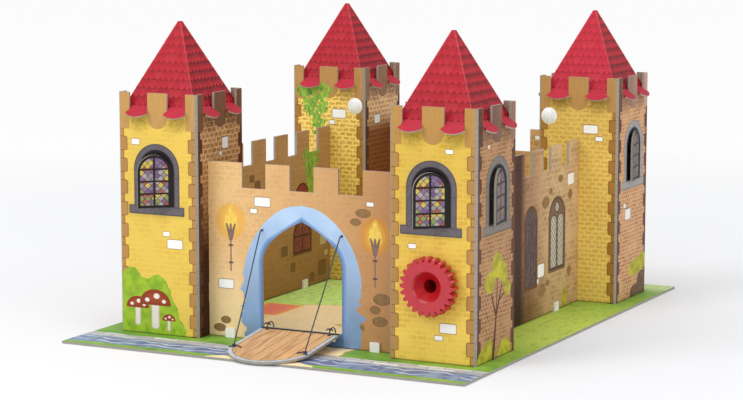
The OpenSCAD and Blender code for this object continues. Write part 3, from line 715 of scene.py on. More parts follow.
def open_page(name, middle, turn=0.0, lie_flat=False):
    """A page for a face whose middle foot is given.
    The face looks along -Y, turned by `turn` about the upright, or straight up."""
    material, tree = new_material(name)
    turning = Euler((0, 0, 0)) if lie_flat else Euler((-math.pi / 2, -turn, 0))
    start = turning.to_matrix() @ (Vector(middle) / MM)
    where = put(tree, "TexCoord", {}, out="Object")
    inputs = {"Vector": where, "Location": -start, "Rotation": turning, "Scale": (1 / MM, 1 / MM, 1 / MM)}
    return Page(material, put(tree, "Mapping", inputs))


def shade(material, colour, roughness, bump, more):
    """Ends a material in a Principled shader. The bump has strength, depth, height and maybe a normal."""
    tree = material.node_tree
    normal = put(tree, "Bump", dict(zip(("Strength", "Distance", "Height", "Normal"), bump)))
    inputs = {"Base Color": colour, "Roughness": roughness, "Normal": normal, **more}
    put(tree, "OutputMaterial", {"Surface": put(tree, "BsdfPrincipled", inputs)})
    return material


def finish_card(page, bump=0.3):
    """Gives a print the grain and the sheen of card."""
    card = place(printed_card, page, colour=page.colour)
    bump = (bump, FIBRE_DEPTH, card["height"])
    return shade(page.material, card["colour"], card["roughness"], bump, {"Specular IOR Level": 0.2})


def bare_board(name, light, dark, layers):
    """Unprinted board: fibres, and the layers of the core where a cut shows them."""
    page = open_page(name, (0, 0, 0), lie_flat=True)
    page.lay(paint(dark, light, grain(stretched(page, layers), 1.0, 5.0).ramp(0.35, 0.65)))
    page.lay("#766c62", grain(page, 0.9, 1.0).ramp(0.66, 0.72) * 0.2)
    return finish_card(page, 0.5)


cut_edge = bare_board("cut_edge", "#a8a49a", "#948f84", (0.5, 0.5, 0.7))
board_back = bare_board("board_back", "#bcb0a0", "#a09282", (0.12, 0.12, 0.5))
print("bare board:", cut_edge.name, board_back.name)

# %% [markdown]
# ## Dressing a solid
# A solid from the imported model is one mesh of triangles, and its faces need different materials: print
# outside, bare board inside, grey core at the cuts. The mesh itself may not change, but a triangle's
# material number may, so each triangle is asked which way it looks and where it lies.

# %% A tool that gives each triangle its material
QUARTER = math.pi / 2


def dress(node, choose):
    """Gives every triangle of a solid the material that choose(normal, middle) names."""
    mesh = frame["nodes"][node].data
    mesh.materials.clear()
    numbers = {}
    for triangle in mesh.polygons:
        material = choose(triangle.normal, triangle.center)
        if material.name not in numbers:
            numbers[material.name] = len(numbers)
            mesh.materials.append(material)
        triangle.material_index = numbers[material.name]
    print(node, "carries", *numbers)


def dress_sheet(node, way, front, back):
    """Gives a flat card a material on the side that looks this way, one behind, and grey core at its cuts."""

    def choose(normal, spot):
        square = normal.dot(way)
        return front if square > 0.9 else back if square < -0.9 else cut_edge

    dress(node, choose)


def outward(turn):
    """The way that an upright face with this turn looks."""
    return Vector((math.sin(turn), -math.cos(turn), 0))


SIDES = [outward(side * QUARTER) for side in range(4)]
UPWARD = Vector((0, 0, 1))
board_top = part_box("base_board")[1].z


def middle_foot(node):
    """The middle of a solid, on the board."""
    low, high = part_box(node)
    return Vector(((low.x + high.x) / 2, (low.y + high.y) / 2, board_top))


CORNERS = ("front_left", "front_right", "back_left", "back_right")
TOWERS = {corner: middle_foot("roof_" + corner) for corner in CORNERS}
print({corner: [round(x / MM, 1) for x in middle] for corner, middle in TOWERS.items()})

# %% [markdown]
# ## Tower walls
# Each tower is a folded card with four printed faces: plaster or brick, corner stones up both edges,
# plain stone on the merlons, painted shade under the roof's tabs, and a few white stones with an ink line.
# One function prints any face from its list of colours and places, so that all sixteen are of one kind.

# %% A function that prints a tower face
WHITE_STONE = "#fcfaf4"
FOOT_SHADOW = "#3e3a18"
INK_W = 0.55
CRENEL_OUT = 18.1
TAB_SHADE = (177, 19, 15)
MERLON_W = 18.6
MERLON_DROP = 29.0
MERLON_ROUND = 8.8
BRICK_GAP = 0.8


def white_stones(page, stones, ink, white=WHITE_STONE):
    """White stones, each with a thin ink line, at x, y, width, height."""
    for x, y, width, height in stones:
        edge = block(page, x, y, width - 0.8, height - 0.7, min(width, height) * 0.16)
        page.fill(ink, edge - INK_W)
        page.fill(white, edge)


def lay_bricks(page, plaster, look):
    """Bricks over plaster, stronger in some patches than in others."""
    weakest = look.get("weakest", 0.25)
    at = shaken(page, 0.3, look["rough"]) if "rough" in look else page
    laid = place(shaken_bricks, at, size=(*look["size"], 0), gap=look.get("gap", BRICK_GAP))
    shown = grain(page, 0.06, 1.0).ramp(*look["patch"], weakest, 1.0)
    solid = (1 - laid["joint"]) * laid["tint"].ramp(0, 1, 0.35 + weakest / 2, 1.0)
    page.lay(plaster)
    page.lay(look["brick"], solid * shown * look["strength"])


def foot_shade(page):
    """A painted shadow: the dark line where a card meets the board."""
    page.lay(FOOT_SHADOW, page.y.ramp(1.4, 0.4, 0, 0.75))


def tower_face(corner, side, look):
    """Prints one face of a tower: side 0 looks to the front, 1 to the right, and so on round."""
    page = open_page("tower_" + corner + "_face_" + str(side), TOWERS[corner], side * QUARTER)
    lay_bricks(page, look["plaster"], look)
    # Painted shade: the face grows darker towards its top or its foot, over the span that the look gives.
    if "dusk" in look:
        dusk, start, end = look["dusk"]
        page.lay(dusk, page.y.ramp(start, end), "MULTIPLY")
    # Painted shade under the roof's two tabs.
    for sign in (-1, 1):
        tab_shade = (
            oval(page, sign * CRENEL_OUT, *TAB_SHADE).inside(7) * grain(page, 0.6, 3.0).ramp(0.3, 0.7, 0.2, 1)
        )
        page.lay(look["tab_shade_hue"], tab_shade * 0.75)
    if "window" in look:
        window_surround(page, *look["window"])
    stones = place(corner_stones, page)
    stacked = stones["edge"].inside()
    page.lay(paint(look["stone"], look["stone_dark"], stones["tint"].ramp(0, 1, 0, 0.35)), stacked)
    page.lay(look["ink"], stones["ink"])
    # Painted glare: where a look gives a second merlon colour, the merlons pale towards the right.
    merlon_hue = paint(look["merlon"], look.get("merlon_rear", look["merlon"]), page.x.ramp(-34, 34))
    merlon = block(page, 0, TOWER_TOP, MERLON_W, 2 * MERLON_DROP, MERLON_ROUND)
    page.lay(look["ink"], merlon.line(0.5) * 0.5)
    page.fill(merlon_hue, merlon.most(TOWER_TOP - MERLON_DROP - page.y))
    above = (TOWER_TOP - TOP_H - page.y).inside() * stacked
    page.lay(merlon_hue, above)
    streak = grain(stretched(page, (1.2, 0.08, 1)), 1.0, 3.0)
    page.lay(look["stone_dark"], merlon.inside().most(above) * streak.ramp(0.45, 0.75) * 0.3)
    if look["art"]:
        look["art"](page)
    white_stones(page, look["stones"], look["stone_ink"], look.get("white", WHITE_STONE))
    foot_shade(page)
    return finish_card(page)


# %% [markdown]
# ## Windows
# A window is cut on three sides and folds outwards on its right edge, so that its glass stands proud of
# the stone frame that is printed round the hole. Round the hole runs a black line, and the flap carries
# two columns of four panes of leaded glass between black bars.

# %% Functions for a window's frame and its glass
SILL_UP = 107.0
SILL_H = 7.4
SILL_PAST = 9.5
WINDOW_SPRING = 136.75
WINDOW_HALF = 13.75
RING_HALF = 16.7
FRAME_JOINTS = (131, 116)
PANE_ROWS = (11.6, 21.8, 31.8)
PANE_FRAME = 2.3


def window_surround(page, shift, half, stone, dark):
    """A stone frame with a sill, painted shade under the sill, and a black line round the hole."""
    mottled = paint(stone, dark, grain(page, 0.35, 3.0).ramp(0.4, 0.7, 0, 0.6))
    frame_edge = arch(page, shift, WINDOW_SPRING, half, SILL_UP - 1)
    sill = block(page, shift - 0.3, SILL_UP - 3.5, 2 * half + SILL_PAST, SILL_H, 0.9)
    # Painted shade under the sill.
    page.lay("#786028", sill.inside(9) * 0.35)
    for edge in (frame_edge, sill):
        page.fill(mottled, edge)
        page.lay(dark, (edge + 0.5).line(0.9) * 0.8)
    joints = joined([abs(page.y - up) for up in FRAME_JOINTS]) - 0.25
    page.lay(dark, joints.inside() * frame_edge.inside() * (page.x - shift).ramp(0, 1) * 0.7)
    ring = arch(page, shift, WINDOW_SPRING, RING_HALF, SILL_UP)
    page.fill("#5c545c", ring - 0.7)
    page.fill("#201b1e", ring)


def window_glass(name, hinge, turn, glass_shade):
    """Leaded glass on a flap, whose hinge is its right edge."""
    page = open_page(name, hinge, turn)
    centred = put(page.tree, "VectorMath", {0: page, 1: (WINDOW_HALF, 0, 0)}, operation="ADD")
    x, y = split(centred)
    glass = place(leaded_glass, centred)
    page.lay(glass["glass"])
    page.lay("#ffffff", grain(page, 0.4).ramp(0.3, 0.7, 0.0, 0.08))
    # Painted shade: on side faces the glass is greyed and darkened.
    if glass_shade:
        page.lay("#786668", glass_shade)
    page.lay("#463a42", glass["lead"])
    bars = joined([abs(x) - 0.9] + [abs(y - up) - 0.75 for up in PANE_ROWS])
    pane = arch(centred, 0, WINDOW_SPRING - SILL_UP, WINDOW_HALF - PANE_FRAME, 2.2)
    page.lay("#261f21", bars.inside(0.3).most(1 - pane.inside(0.3)))
    return finish_card(page)


# %% [markdown]
# ## Plants and torches
# The print has leaves, bushes, ivy, a small tree and torches. A bush is a few ovals run together with a
# shaken edge. Ivy is the leaf pattern, cut off softly outside its ovals. The toadstools and the plain
# door are common designs, chosen for their colours and scale.

# %% Functions for plants and torches
GREEN = ("#a6c434", "#7aa42c")
OLIVE = ("#c6be32", "#8e8628")
IVY, DEEP_IVY = "#9ec84a", "#548c30"
IVY_LEAF = 3.6
IVY_LAYERS = ((0.7, 0.0), (-0.5, 0.35))
CAP_SPOTS = ((-0.3, 0.9, 0.17), (0.05, 1.04, 0.22), (0.32, 0.88, 0.15))


def draw_bush(page, blobs, hues=OLIVE):
    """A bush of ovals, each at x, y, width, height."""
    light, dark = hues
    rough = shaken(page, 0.3, 3.4)
    edge = joined([oval(rough, *blob) for blob in blobs])
    page.fill(paint(light, dark, grain(page, 0.11, 3.0).ramp(0.42, 0.62, 0, 0.7)), edge)
    page.lay(dark, (edge + 0.7).line(1.1) * grain(page, 0.2).ramp(0.5, 0.6) * 0.6)


def draw_ivy(page, blobs):
    """Leaves that thin out towards the edge of their ovals."""
    reach = joined([oval(page, *blob) for blob in blobs])
    for step, (lean, tone) in enumerate(IVY_LAYERS):
        inputs = {
            "Vector": page, "Rotation": (0, 0, lean),
            "Scale": (1.0, 0.6, 1.0), "Location": (step * 9.0, 0, 0),
        }
        leaf = place(pointed_leaves, put(page.tree, "Mapping", inputs), size=IVY_LEAF)
        shape = leaf["edge"] + (reach / 7).most(-0.22)
        page.fill(paint(DEEP_IVY, IVY, leaf["tint"].ramp(0, 1, tone, 1)), shape, 0.07)


def twig(point, start, end, width):
    """The distance to a straight twig that thins towards its end."""
    x, y = split(point)
    step_x, step_y = end[0] - start[0], end[1] - start[1]
    square = step_x**2 + step_y**2
    along = ((x - start[0]) * (step_x / square) + (y - start[1]) * (step_y / square)).most(0).least(1)
    return (
        span(x - start[0] - along * step_x, y - start[1] - along * step_y)
        - width / 2 + along * (width * 0.3)
    )


def twigs(point, lines):
    return joined([twig(point, *line) for line in lines])


def draw_toadstool(page, x, y, size):
    """A rust cap with pale spots on a white stem, its foot at x, y. Its measures are shares of its size."""
    stem = block(page, x, y + size * 0.42, size * 0.3, size * 0.9, size * 0.12)
    page.fill("#eee4d6", stem)
    page.lay("#b09680", (stem + 0.4).line(0.6) * 0.7)
    cap = oval(page, x, y + size * 0.78, size * 1.15, size * 0.95).most(y + size * 0.74 - page.y)
    page.fill("#963e22", cap)
    page.lay("#ba5c34", (cap + size * 0.16).inside(size * 0.2) * 0.7)
    spots = [oval(page, x + size * a, y + size * b, size * w, size * w * 0.8) for a, b, w in CAP_SPOTS]
    page.fill("#f6eee2", joined(spots))


def draw_torch(page, x, y, glow):
    """A burning torch in its glow, whose middle is at x, y."""
    rough, licked = shaken(page, 0.25, 2.0), shaken(page, 0.3, 5.0)
    page.lay(glow, oval(rough, x, y - 0.5, 27.5, 29.5).inside(2.6) * 0.9)
    page.lay("#f6c854", oval(rough, x, y - 1, 17, 20).inside(5) * 0.45)
    flames = ((0, 2.5, 5.4, 19), (-3.6, -0.5, 4.2, 14), (3.8, -1, 4.2, 13))
    tongues = [oval(licked, x + out, y + up, width, height) for out, up, width, height in flames]
    page.lay("#fad050", joined(tongues).inside(1.0) * 0.85)
    for tongue in tongues:
        page.lay("#ffee96", (tongue + 1.0).line(0.6, 0.6) * 0.5)
    shaft = block(page, x, y - 27, 1.3, 30, 0.5)
    prongs = [((x, y - 15), (x + lean, y - 3), 3.4) for lean in (-4, 0, 4)]
    claw = twigs(page, prongs).least(block(page, x, y - 12, 3.4, 7, 1.4))
    rings = joined([block(page, x, y - down, 4.4, 1.4, 0.6) for down in (34.8, 20.4)])
    page.fill("#8c7068", shaft.least(claw))
    page.lay("#584648", rings.inside().most((claw + 0.3).line(0.5) * 0.6))


# %% [markdown]
# ## Printing the towers
# The two front faces are warm yellow plaster with faint bricks. The side faces are brown stone, much
# darker on the left tower, partly from painted shade over its lower part. The back towers are like them,
# and the faces that the picture can't show repeat the nearest ones, because the same sheet would carry them.

# %% Window frames and kinds of stone for the towers
FRONT_SHIFT, SIDE_SHIFT = -1.2, 2.4
FRONT_OPEN, SIDE_OPEN = 41, 9.5
FRONT_FRAME = (FRONT_SHIFT, 21.75, "#70686c", "#544e52")
SIDE_FRAME = (SIDE_SHIFT, 23.5, "#8a8278", "#665e58")
PALE_FRAME = (SIDE_SHIFT, 23.5, "#aca8a3", "#827e7a")

yellow = dict(
    plaster="#efcb5c", brick="#d8aa3a", size=(8.6, 4.2), strength=0.42, patch=(0.42, 0.6),
    stone="#c29252", stone_dark="#a0723c", ink="#784e26",
    merlon="#c89a5a", tab_shade_hue="#8c701e", stone_ink="#aa803c",
)
dark_stone = dict(
    plaster="#d8aa76", brick="#966840", size=(6.8, 4.3), strength=1.0, patch=(0.2, 0.4),
    weakest=0.6, rough=3.4, stone="#5e321c", stone_dark="#422214", ink="#381c10",
    merlon="#7a523a", tab_shade_hue="#462818", stone_ink="#482c1a",
    dusk=("#4e3024", 150, 70), white="#eae7e3",
)
tan_stone = dict(
    plaster="#c29365", brick="#744c2e", size=(5.4, 3.4), strength=0.9, patch=(0.3, 0.55),
    rough=2.6, stone="#6c3e2a", stone_dark="#522d1f", ink="#46261a",
    merlon="#5e382a", merlon_rear="#9e7863", tab_shade_hue="#603c28", stone_ink="#70462c",
)
old_yellow = dict(
    plaster="#ffde78", brick="#c89434", size=(7.2, 4.0), strength=0.9, patch=(0.4, 0.55),
    weakest=0.7, rough=3.6, gap=1.15, stone="#b4823a", stone_dark="#8e602a", ink="#6e461e",
    merlon="#be9054", tab_shade_hue="#806022", stone_ink="#8c6838",
)


# %% Motifs for the towers
def bush_with_toadstools(page):
    blobs = [
        (-27, 34, 25, 42), (-17, 24, 40, 46), (-2, 22, 30, 56),
        (6, 14, 26, 36), (14, 3, 22, 26), (-20, 0, 60, 40),
    ]
    draw_bush(page, blobs, GREEN)
    for place_and_size in ((-21, 7, 19), (-4, 5, 26), (9, 4, 11)):
        draw_toadstool(page, *place_and_size)
    tufts = ((-30, 5), (-13, 3), (3, 3), (14, 2))
    blades = [((x, y), (x + lean, y + 6), 1.3) for x, y in tufts for lean in (-2, 0.5, 2.5)]
    page.lay(GREEN[1], twigs(page, blades).inside() * 0.8)


def young_tree(page):
    draw_bush(page, [(-14, 5, 26, 24), (-23, 2, 24, 18), (17, 3, 26, 20)])
    branches = [
        ((-6, -2), (1, 38), 5.2), ((1, 36), (13, 62), 3.0),
        ((0, 34), (-12, 58), 2.8), ((6, 46), (20, 52), 2.0),
        ((1, 36), (2, 70), 2.2),
    ]
    page.fill("#5c321e", twigs(page, branches))
    draw_bush(page, [(2, 74, 20, 20), (14, 66, 17, 17), (-12, 62, 19, 17), (22, 53, 13, 12)])


def hanging_ivy(page):
    draw_ivy(page, [(-16, 177, 34, 16), (-14, 166, 25, 26), (-11, 149, 13, 26)])


def tufts_and_rocks(page):
    draw_bush(page, [(16, 27, 44, 14), (28, 31, 20, 14), (2, 25, 18, 10)])
    rocks = joined([oval(page, 27, 8, 24, 26), oval(page, 10, 3, 22, 15)])
    page.fill(paint("#84644c", "#604636", grain(page, 0.3, 3.0).ramp(0.4, 0.65)), rocks)
    page.lay("#543c30", rocks.line(0.7))


# %% Print and dress the towers
def face(look, stones, art=None, **changes):
    """One face's look: a kind of stone, its white stones, its motif, and what differs from the kind."""
    return dict(look, stones=stones, art=art, **changes)


PRINTS = {
    "front_left": [
        face(
            yellow, [(-21.2, 159.5, 8.5, 5.4), (7.5, 84.6, 6.9, 4.5), (15.6, 76.5, 15.1, 8)],
            bush_with_toadstools, window=FRONT_FRAME,
        ),
        face(dark_stone, [(7.6, 157.2, 10.5, 10), (0.2, 149, 4.6, 4.4)]),
        face(old_yellow, [(-9, 120, 12, 7)]),
        face(tan_stone, [(-9, 96, 12, 8), (-16, 88, 6, 4)], tufts_and_rocks),
    ],
    "front_right": [
        face(
            yellow,
            [(14, 166.1, 7.3, 3.9), (-17.5, 90.8, 7.3, 4.2), (13.5, 28, 14.7, 8), (5.5, 20, 7.8, 4.3)],
            window=FRONT_FRAME, strength=0.6, merlon="#bf914e", plaster="#f6d15f", dusk=("#eeeae0", 30, 130),
        ),
        face(tan_stone, [(-15.6, 168.8, 5.5, 3.8)], young_tree, window=SIDE_FRAME, white="#ecd6c4"),
        face(old_yellow, [(8, 132, 12, 7)]),
        face(dark_stone, [(10, 90, 12, 8)]),
    ],
    "back_left": [
        face(old_yellow, [(10.9, 156.8, 14.6, 8.6), (3.5, 148.5, 6.3, 4.3)], hanging_ivy),
        face(
            dark_stone, [(-11.5, 151, 12, 8.6)], plaster="#f6c896", brick="#bc8c60", merlon="#967054",
            dusk=("#98765c", 158, 140),
        ),
        face(yellow, [(14, 80, 12, 7), (-14, 150, 8, 5)], hanging_ivy),
        face(tan_stone, [(9, 140, 12, 8)], tufts_and_rocks),
    ],
    "back_right": [
        face(
            old_yellow, [(11.9, 154.3, 14.2, 7.9), (20, 146.1, 7.6, 4.4)], brick="#e6b654",
            dusk=("#e6e0d6", 60, 150),
        ),
        face(
            tan_stone, [(-9.7, 77, 14, 10.2), (-17.8, 85.3, 6.9, 4.5)], tufts_and_rocks, window=PALE_FRAME,
            plaster="#e2ae7c", brick="#966440", merlon="#704632", merlon_rear="#cea690", white="#f4f0ea",
        ),
        face(yellow, [(-12, 140, 13, 7), (-2, 132, 7, 4)], bush_with_toadstools),
        face(tan_stone, [(4, 110, 12, 8)]),
    ],
}
FLAPS = {
    "front_left": [(0, FRONT_SHIFT, FRONT_OPEN)],
    "front_right": [(0, FRONT_SHIFT, FRONT_OPEN), (1, SIDE_SHIFT, SIDE_OPEN)],
    "back_left": [],
    "back_right": [(1, SIDE_SHIFT, SIDE_OPEN)],
}
SIDE_GLASS_SHADE = 0.7
SQUARE = 0.999


def dress_tower(corner):
    """Prints the four faces and the flaps of a tower, and leaves the rest of it as bare board."""
    middle = TOWERS[corner]
    faces = [tower_face(corner, side, PRINTS[corner][side]) for side in range(4)]
    panes = []
    for side, shift, angle in FLAPS[corner]:
        turn = side * QUARTER
        right, out = outward(turn + QUARTER), outward(turn)
        hinge = middle + (right * (shift + WINDOW_HALF) + out * TOWER_HALF + UPWARD * SILL_UP) * MM
        open_turn = turn + math.radians(angle)
        name = "glass_" + corner + "_" + str(side)
        panes.append((outward(open_turn), window_glass(name, hinge, open_turn, side * SIDE_GLASS_SHADE)))

    def choose(normal, spot):
        away = spot - middle
        for way, material in zip(SIDES, faces):
            far = away.dot(way)
            if normal.dot(way) > SQUARE and abs(far - TOWER_HALF * MM) < 0.1 * MM:
                return material
            if normal.dot(way) > SQUARE and far < 0:
                return board_back
        for way, material in panes:
            if abs(normal.dot(way)) > SQUARE:
                return material if normal.dot(way) > 0 else board_back
        return cut_edge

    dress("tower_" + corner, choose)


for corner in TOWERS:
    dress_tower(corner)

# %% [markdown]
# ## Roofs
# A roof is red card, scored into four slopes, with tabs that fold out through the crenels. Its tiles are
# printed in rows with scalloped ends, each row throwing a thin shadow on the next. The tabs are plain.

# %% Print and dress the roofs
TILE_W = 5.6
TILE_ROW = 6.9
FIRST_ROW = 2.8
ROOF_FOOT = 184.6
HIP_START = 35.6
HIP_RUN = 0.473
FRONT_REDS = ("#b61b2b", "#9c1020", "#820b1b")
# Painted shade: the side slopes take darker reds. Painted glare: one front slope takes paler, flatter reds.
SHADED_SIDE_REDS = ("#c4222e", "#681218", "#48060c")
GLARE_REDS = ("#c02438", "#b01a2e", "#9c1226")


@node_group({}, {"shadow": "Float", "depth": "Float", "tint": "Float"})
def scalloped_tiles(point):
    x, y = split(shaken(point, 0.15, 0.6))
    rows = (y + FIRST_ROW) / TILE_ROW
    count, up = rows.whole(), rows.rest()
    along = x / TILE_W + count * 0.5
    across = along.rest() - 0.5
    scallop = up - across * across * 1.5 - 0.05
    tint = chance(point.tree, join(along.whole(), count), "2D")
    return {"shadow": scallop.inside(0.12), "depth": up.ramp(0.25, 0.9), "tint": tint}


def roof_slope(corner, side):
    """Tiles with a pale line on the hips, painted shade on the side slopes and painted glare on one front
    slope.
    """
    red, dark, shadow = (
        GLARE_REDS if (corner, side) == ("back_right", 0) else (FRONT_REDS, SHADED_SIDE_REDS)[side % 2]
    )
    foot = TOWERS[corner] + Vector((0, 0, ROOF_FOOT * MM))
    page = open_page("roof_" + corner + "_slope_" + str(side), foot, side * QUARTER)
    tiles = place(scalloped_tiles, page)
    page.lay(paint(red, dark, tiles["depth"] * 0.8))
    page.lay("#e0545e", tiles["tint"].ramp(0.5, 1, 0, 0.12))
    page.lay(shadow, tiles["shadow"] * page.y.ramp(70, 20, 0.6, 0.9))
    hip = abs(page.x) + page.y * HIP_RUN - HIP_START
    page.lay("#de626a", (hip + 0.4).line(0.6, 0.7) * 0.5)
    return finish_card(page)


tab_page = open_page("roof_tab", (0, 0, 0), lie_flat=True)
tab_page.lay(paint("#b8283a", "#a21e2e", grain(tab_page, 0.16, 3.0).ramp(0.35, 0.7, 0, 0.5)))
roof_tab = finish_card(tab_page)
for corner in TOWERS:
    slopes = [roof_slope(corner, side) for side in range(4)]

    def choose(normal, spot, slopes=slopes):
        if normal.z > 0.7:
            return roof_tab
        turns = [normal.dot(way) for way in SIDES]
        if 0.25 < normal.z < 0.6 and max(turns) > 0.7:
            return slopes[turns.index(max(turns))]
        return cut_edge if abs(normal.z) < 0.2 else board_back

    dress("roof_" + corner, choose)

# %% [markdown]
# ## Walls
# The four walls are single cards, printed on both sides. The front wall has the gate: a pale blue arch
# of dressed stone, two torches, a few brown cobbles and white stones. Inside, the walls are darker
# stone with windows and ivy, as far as the picture shows them through the gate and over the top.

# %% Functions for the walls
GATE_SPRING = 63.0
GATE_POINT = 99.8
CIRCLE_OUT = 10.1
CIRCLE_R = 26.4
SLOPE_X, SLOPE_Y = 0.534, 0.845
ARC_END_X, ARC_END_Y = 0.703, 0.711
BAND_R = 75.0
BAND_OUT = 20.2
BAND_SPRING = 46.0
COBBLE, COBBLE_INK = "#9a764c", "#745634"
WALL_INK = "#967448"
DOOR_FOOT = 30
DOOR_PLANK = 5.5


def gate_edge(x, y):
    """The distance to the edge of the gate's opening: arcs at the sides, straight to the point above."""
    out = abs(x)
    curved = span(out - CIRCLE_OUT, (y - GATE_SPRING).most(0)) - CIRCLE_R
    straight = out * SLOPE_X + (y - GATE_POINT) * SLOPE_Y
    on_arc = ((out - CIRCLE_OUT) * ARC_END_X - (y - GATE_SPRING) * ARC_END_Y).math("GREATER_THAN", 0.0)
    return straight + (curved - straight) * on_arc


def draw_gate(page):
    """The blue arch round the gate, with a darker reveal, and patchy where it nears the ground."""
    x, y = page.x, page.y
    band = span(abs(x) + BAND_OUT, (y - BAND_SPRING).most(0)) - BAND_R
    band = band + put(page.tree, "Math", {0: 4.6, 1: x * x * 0.008 + 1}, operation="DIVIDE")
    ragged = grain(join(x.math("SIGN") * 37, y), 0.1, 2.0).ramp(0.35, 0.65, -3.5, 5)
    band = band + ragged * y.ramp(58, 34)
    sky = paint("#748eb2", "#bed8f4", y.ramp(4, 100))
    sky = paint(sky, "#96bae6", grain(page, 0.03, 2.0).ramp(0.4, 0.65, 0, 0.5))
    page.fill(sky, band)
    edge = gate_edge(x, y)
    page.lay("#7c9ecc", (edge - 3.6).inside(0.8) * 0.9)
    page.lay("#5c7caa", (edge - 1.6).inside(1.6) * 0.8)


def wall_face(name, middle, turn, look, art):
    """Prints one face of a wall."""
    page = open_page(name, middle, turn)
    lay_bricks(page, paint(look["left"], look["right"], page.x.ramp(-70, 70)), look)
    page.lay(look["brick"], grain(page, 0.5, 3.0).ramp(0.52, 0.7) * look["fleck"])
    # Painted shade: the wall grows darker towards its foot.
    page.lay(look["foot"], page.y.ramp(70, 0, 0, 0.5), "MULTIPLY")
    art(page)
    foot_shade(page)
    return finish_card(page)


def cobbles(page, spots):
    """Brown oval cobbles at x, y, width, height."""
    for spot in spots:
        edge = oval(page, *spot)
        page.fill(paint(COBBLE, COBBLE_INK, grain(page, 0.5, 2.0).ramp(0.45, 0.7, 0, 0.5)), edge)
        page.lay(COBBLE_INK, edge.line(0.5) * 0.7)


def arched_window(page, x, low, high, half, fill, rim, twin=False):
    """A leaded window in a wall, with a cross of bars or with twin lights under a round one."""
    edge = arch(page, x, high - half, half, low)
    page.fill(rim, edge - 1.8)
    page.lay("#3a2c26", (edge - 1.8).line(0.6) * 0.8)
    glass = place(leaded_glass, page)
    pane = paint(paint(glass["glass"], fill, 0.88), "#4a3a32", glass["lead"])
    if twin:
        lights = [
            arch(page, x + way * half * 0.46, high - half * 1.2, half * 0.38, low + 1.2) for way in (-1, 1)
        ]
        lit = joined(lights + [oval(page, x, high - half * 0.44, half * 0.52, half * 0.52)])
        page.fill(pane, lit)
        page.lay("#42322c", lit.line(1.0).most((edge + 0.3).line(1.0)))
    else:
        page.fill(pane, edge)
        bars = (abs(page.x - x) - 0.6).least(abs(page.y - (low + high) / 2) - 0.6)
        page.lay("#342622", (bars.inside() * edge.inside()).most((edge + 0.3).line(1.2)))


def plain_door(page, x, half, high):
    """A plain dark door under a round arch."""
    edge = arch(page, x, high - half, half, DOOR_FOOT)
    seams = (0.5 - abs((page.x / DOOR_PLANK).rest() - 0.5)) * DOOR_PLANK
    wood = paint("#544244", "#745c56", grain(page, 0.3, 3.0).ramp(0.4, 0.65))
    page.fill("#68462e", edge - 3)
    page.fill(wood, edge)
    page.lay("#2e2224", edge.inside() * (seams - 0.3).inside())


# %% Print and dress the walls
sand = dict(
    left="#f2c78a", right="#c69361", brick="#b48050", size=(7.5, 4.6),
    strength=0.28, patch=(0.45, 0.65), fleck=0.22, foot="#faf2e8",
)
umber = dict(
    left="#c89864", right="#be9260", brick="#a47648", size=(9, 5.6),
    strength=0.5, patch=(0.35, 0.6), fleck=0.5, foot="#c8b4a0",
)
russet = dict(
    # Partly painted shade: the right wall is darker at its left end, by the front tower.
    left="#c89468", right="#dcba8a", brick="#986e4a", size=(8, 4.8),
    strength=0.6, patch=(0.4, 0.6), fleck=0.5, foot="#e2d6c4",
)
amber = dict(
    left="#ce965c", right="#e2b678", brick="#a06c3c", size=(9, 5.4),
    strength=0.6, patch=(0.35, 0.6), fleck=0.4, foot="#d6beaa",
)


def front_art(page):
    # Painted light: the wall is paler at its lower left, against the shade beside the left tower.
    page.lay("#ffe8b4", page.x.ramp(-46, -58) * page.y.ramp(75, 30, 0, 0.6))
    cobbles(page, [
        (55.4, 110.7, 13, 6.8), (48.7, 103.4, 8.8, 5.6), (72.3, 42.5, 15, 9), (66.1, 33.9, 8.8, 6.4),
        (70.5, 24.6, 13, 7.6), (53.6, 18.2, 5.4, 6), (-71.1, 14.3, 9, 6), (-76.9, 7.5, 11, 6.4),
    ])
    stones = [(-36.2, 114.1, 15.3, 8), (-44.4, 106.2, 7, 4.4), (61.6, 118.3, 7, 4), (-70.6, 44.4, 14.6, 8)]
    white_stones(page, stones, WALL_INK)
    draw_torch(page, -65.9, 97.1, "#eeb456")
    draw_torch(page, 66.1, 93.7, "#d89442")
    draw_gate(page)


def right_art(page):
    x, y = page.x, page.y
    # Painted shade: darker next to the front tower, and darker at the lower left.
    page.lay("#ded2d6", x.ramp(44, 0), "MULTIPLY")
    page.lay("#70625e", x.ramp(-4, -17), "MULTIPLY")
    page.lay("#bcb2a0", x.ramp(42, 4) * y.ramp(50, 12), "MULTIPLY")
    cobbles(page, [
        (37.5, 98, 16, 9.4), (48.5, 106.6, 7, 5), (70.6, 115, 10, 6), (92.9, 98.8, 9, 8.4), (91.7, 31, 9, 8),
        (30.3, 22.6, 15, 11), (43.5, 27.1, 8, 5), (-4.5, 116, 10, 6),
    ])
    white_stones(page, [(94.3, 112, 15, 10.7), (28.1, 40.2, 14.4, 11.8), (20.4, 31.8, 6, 4.4)], WALL_INK)
    arched_window(page, 63.3, 37, 98.5, 17, "#ccc4b2", "#806450", twin=True)
    plain_door(page, 5.5, 11.5, 96)
    draw_bush(page, [(82, 6, 10, 24), (-90, 3, 22, 14)])


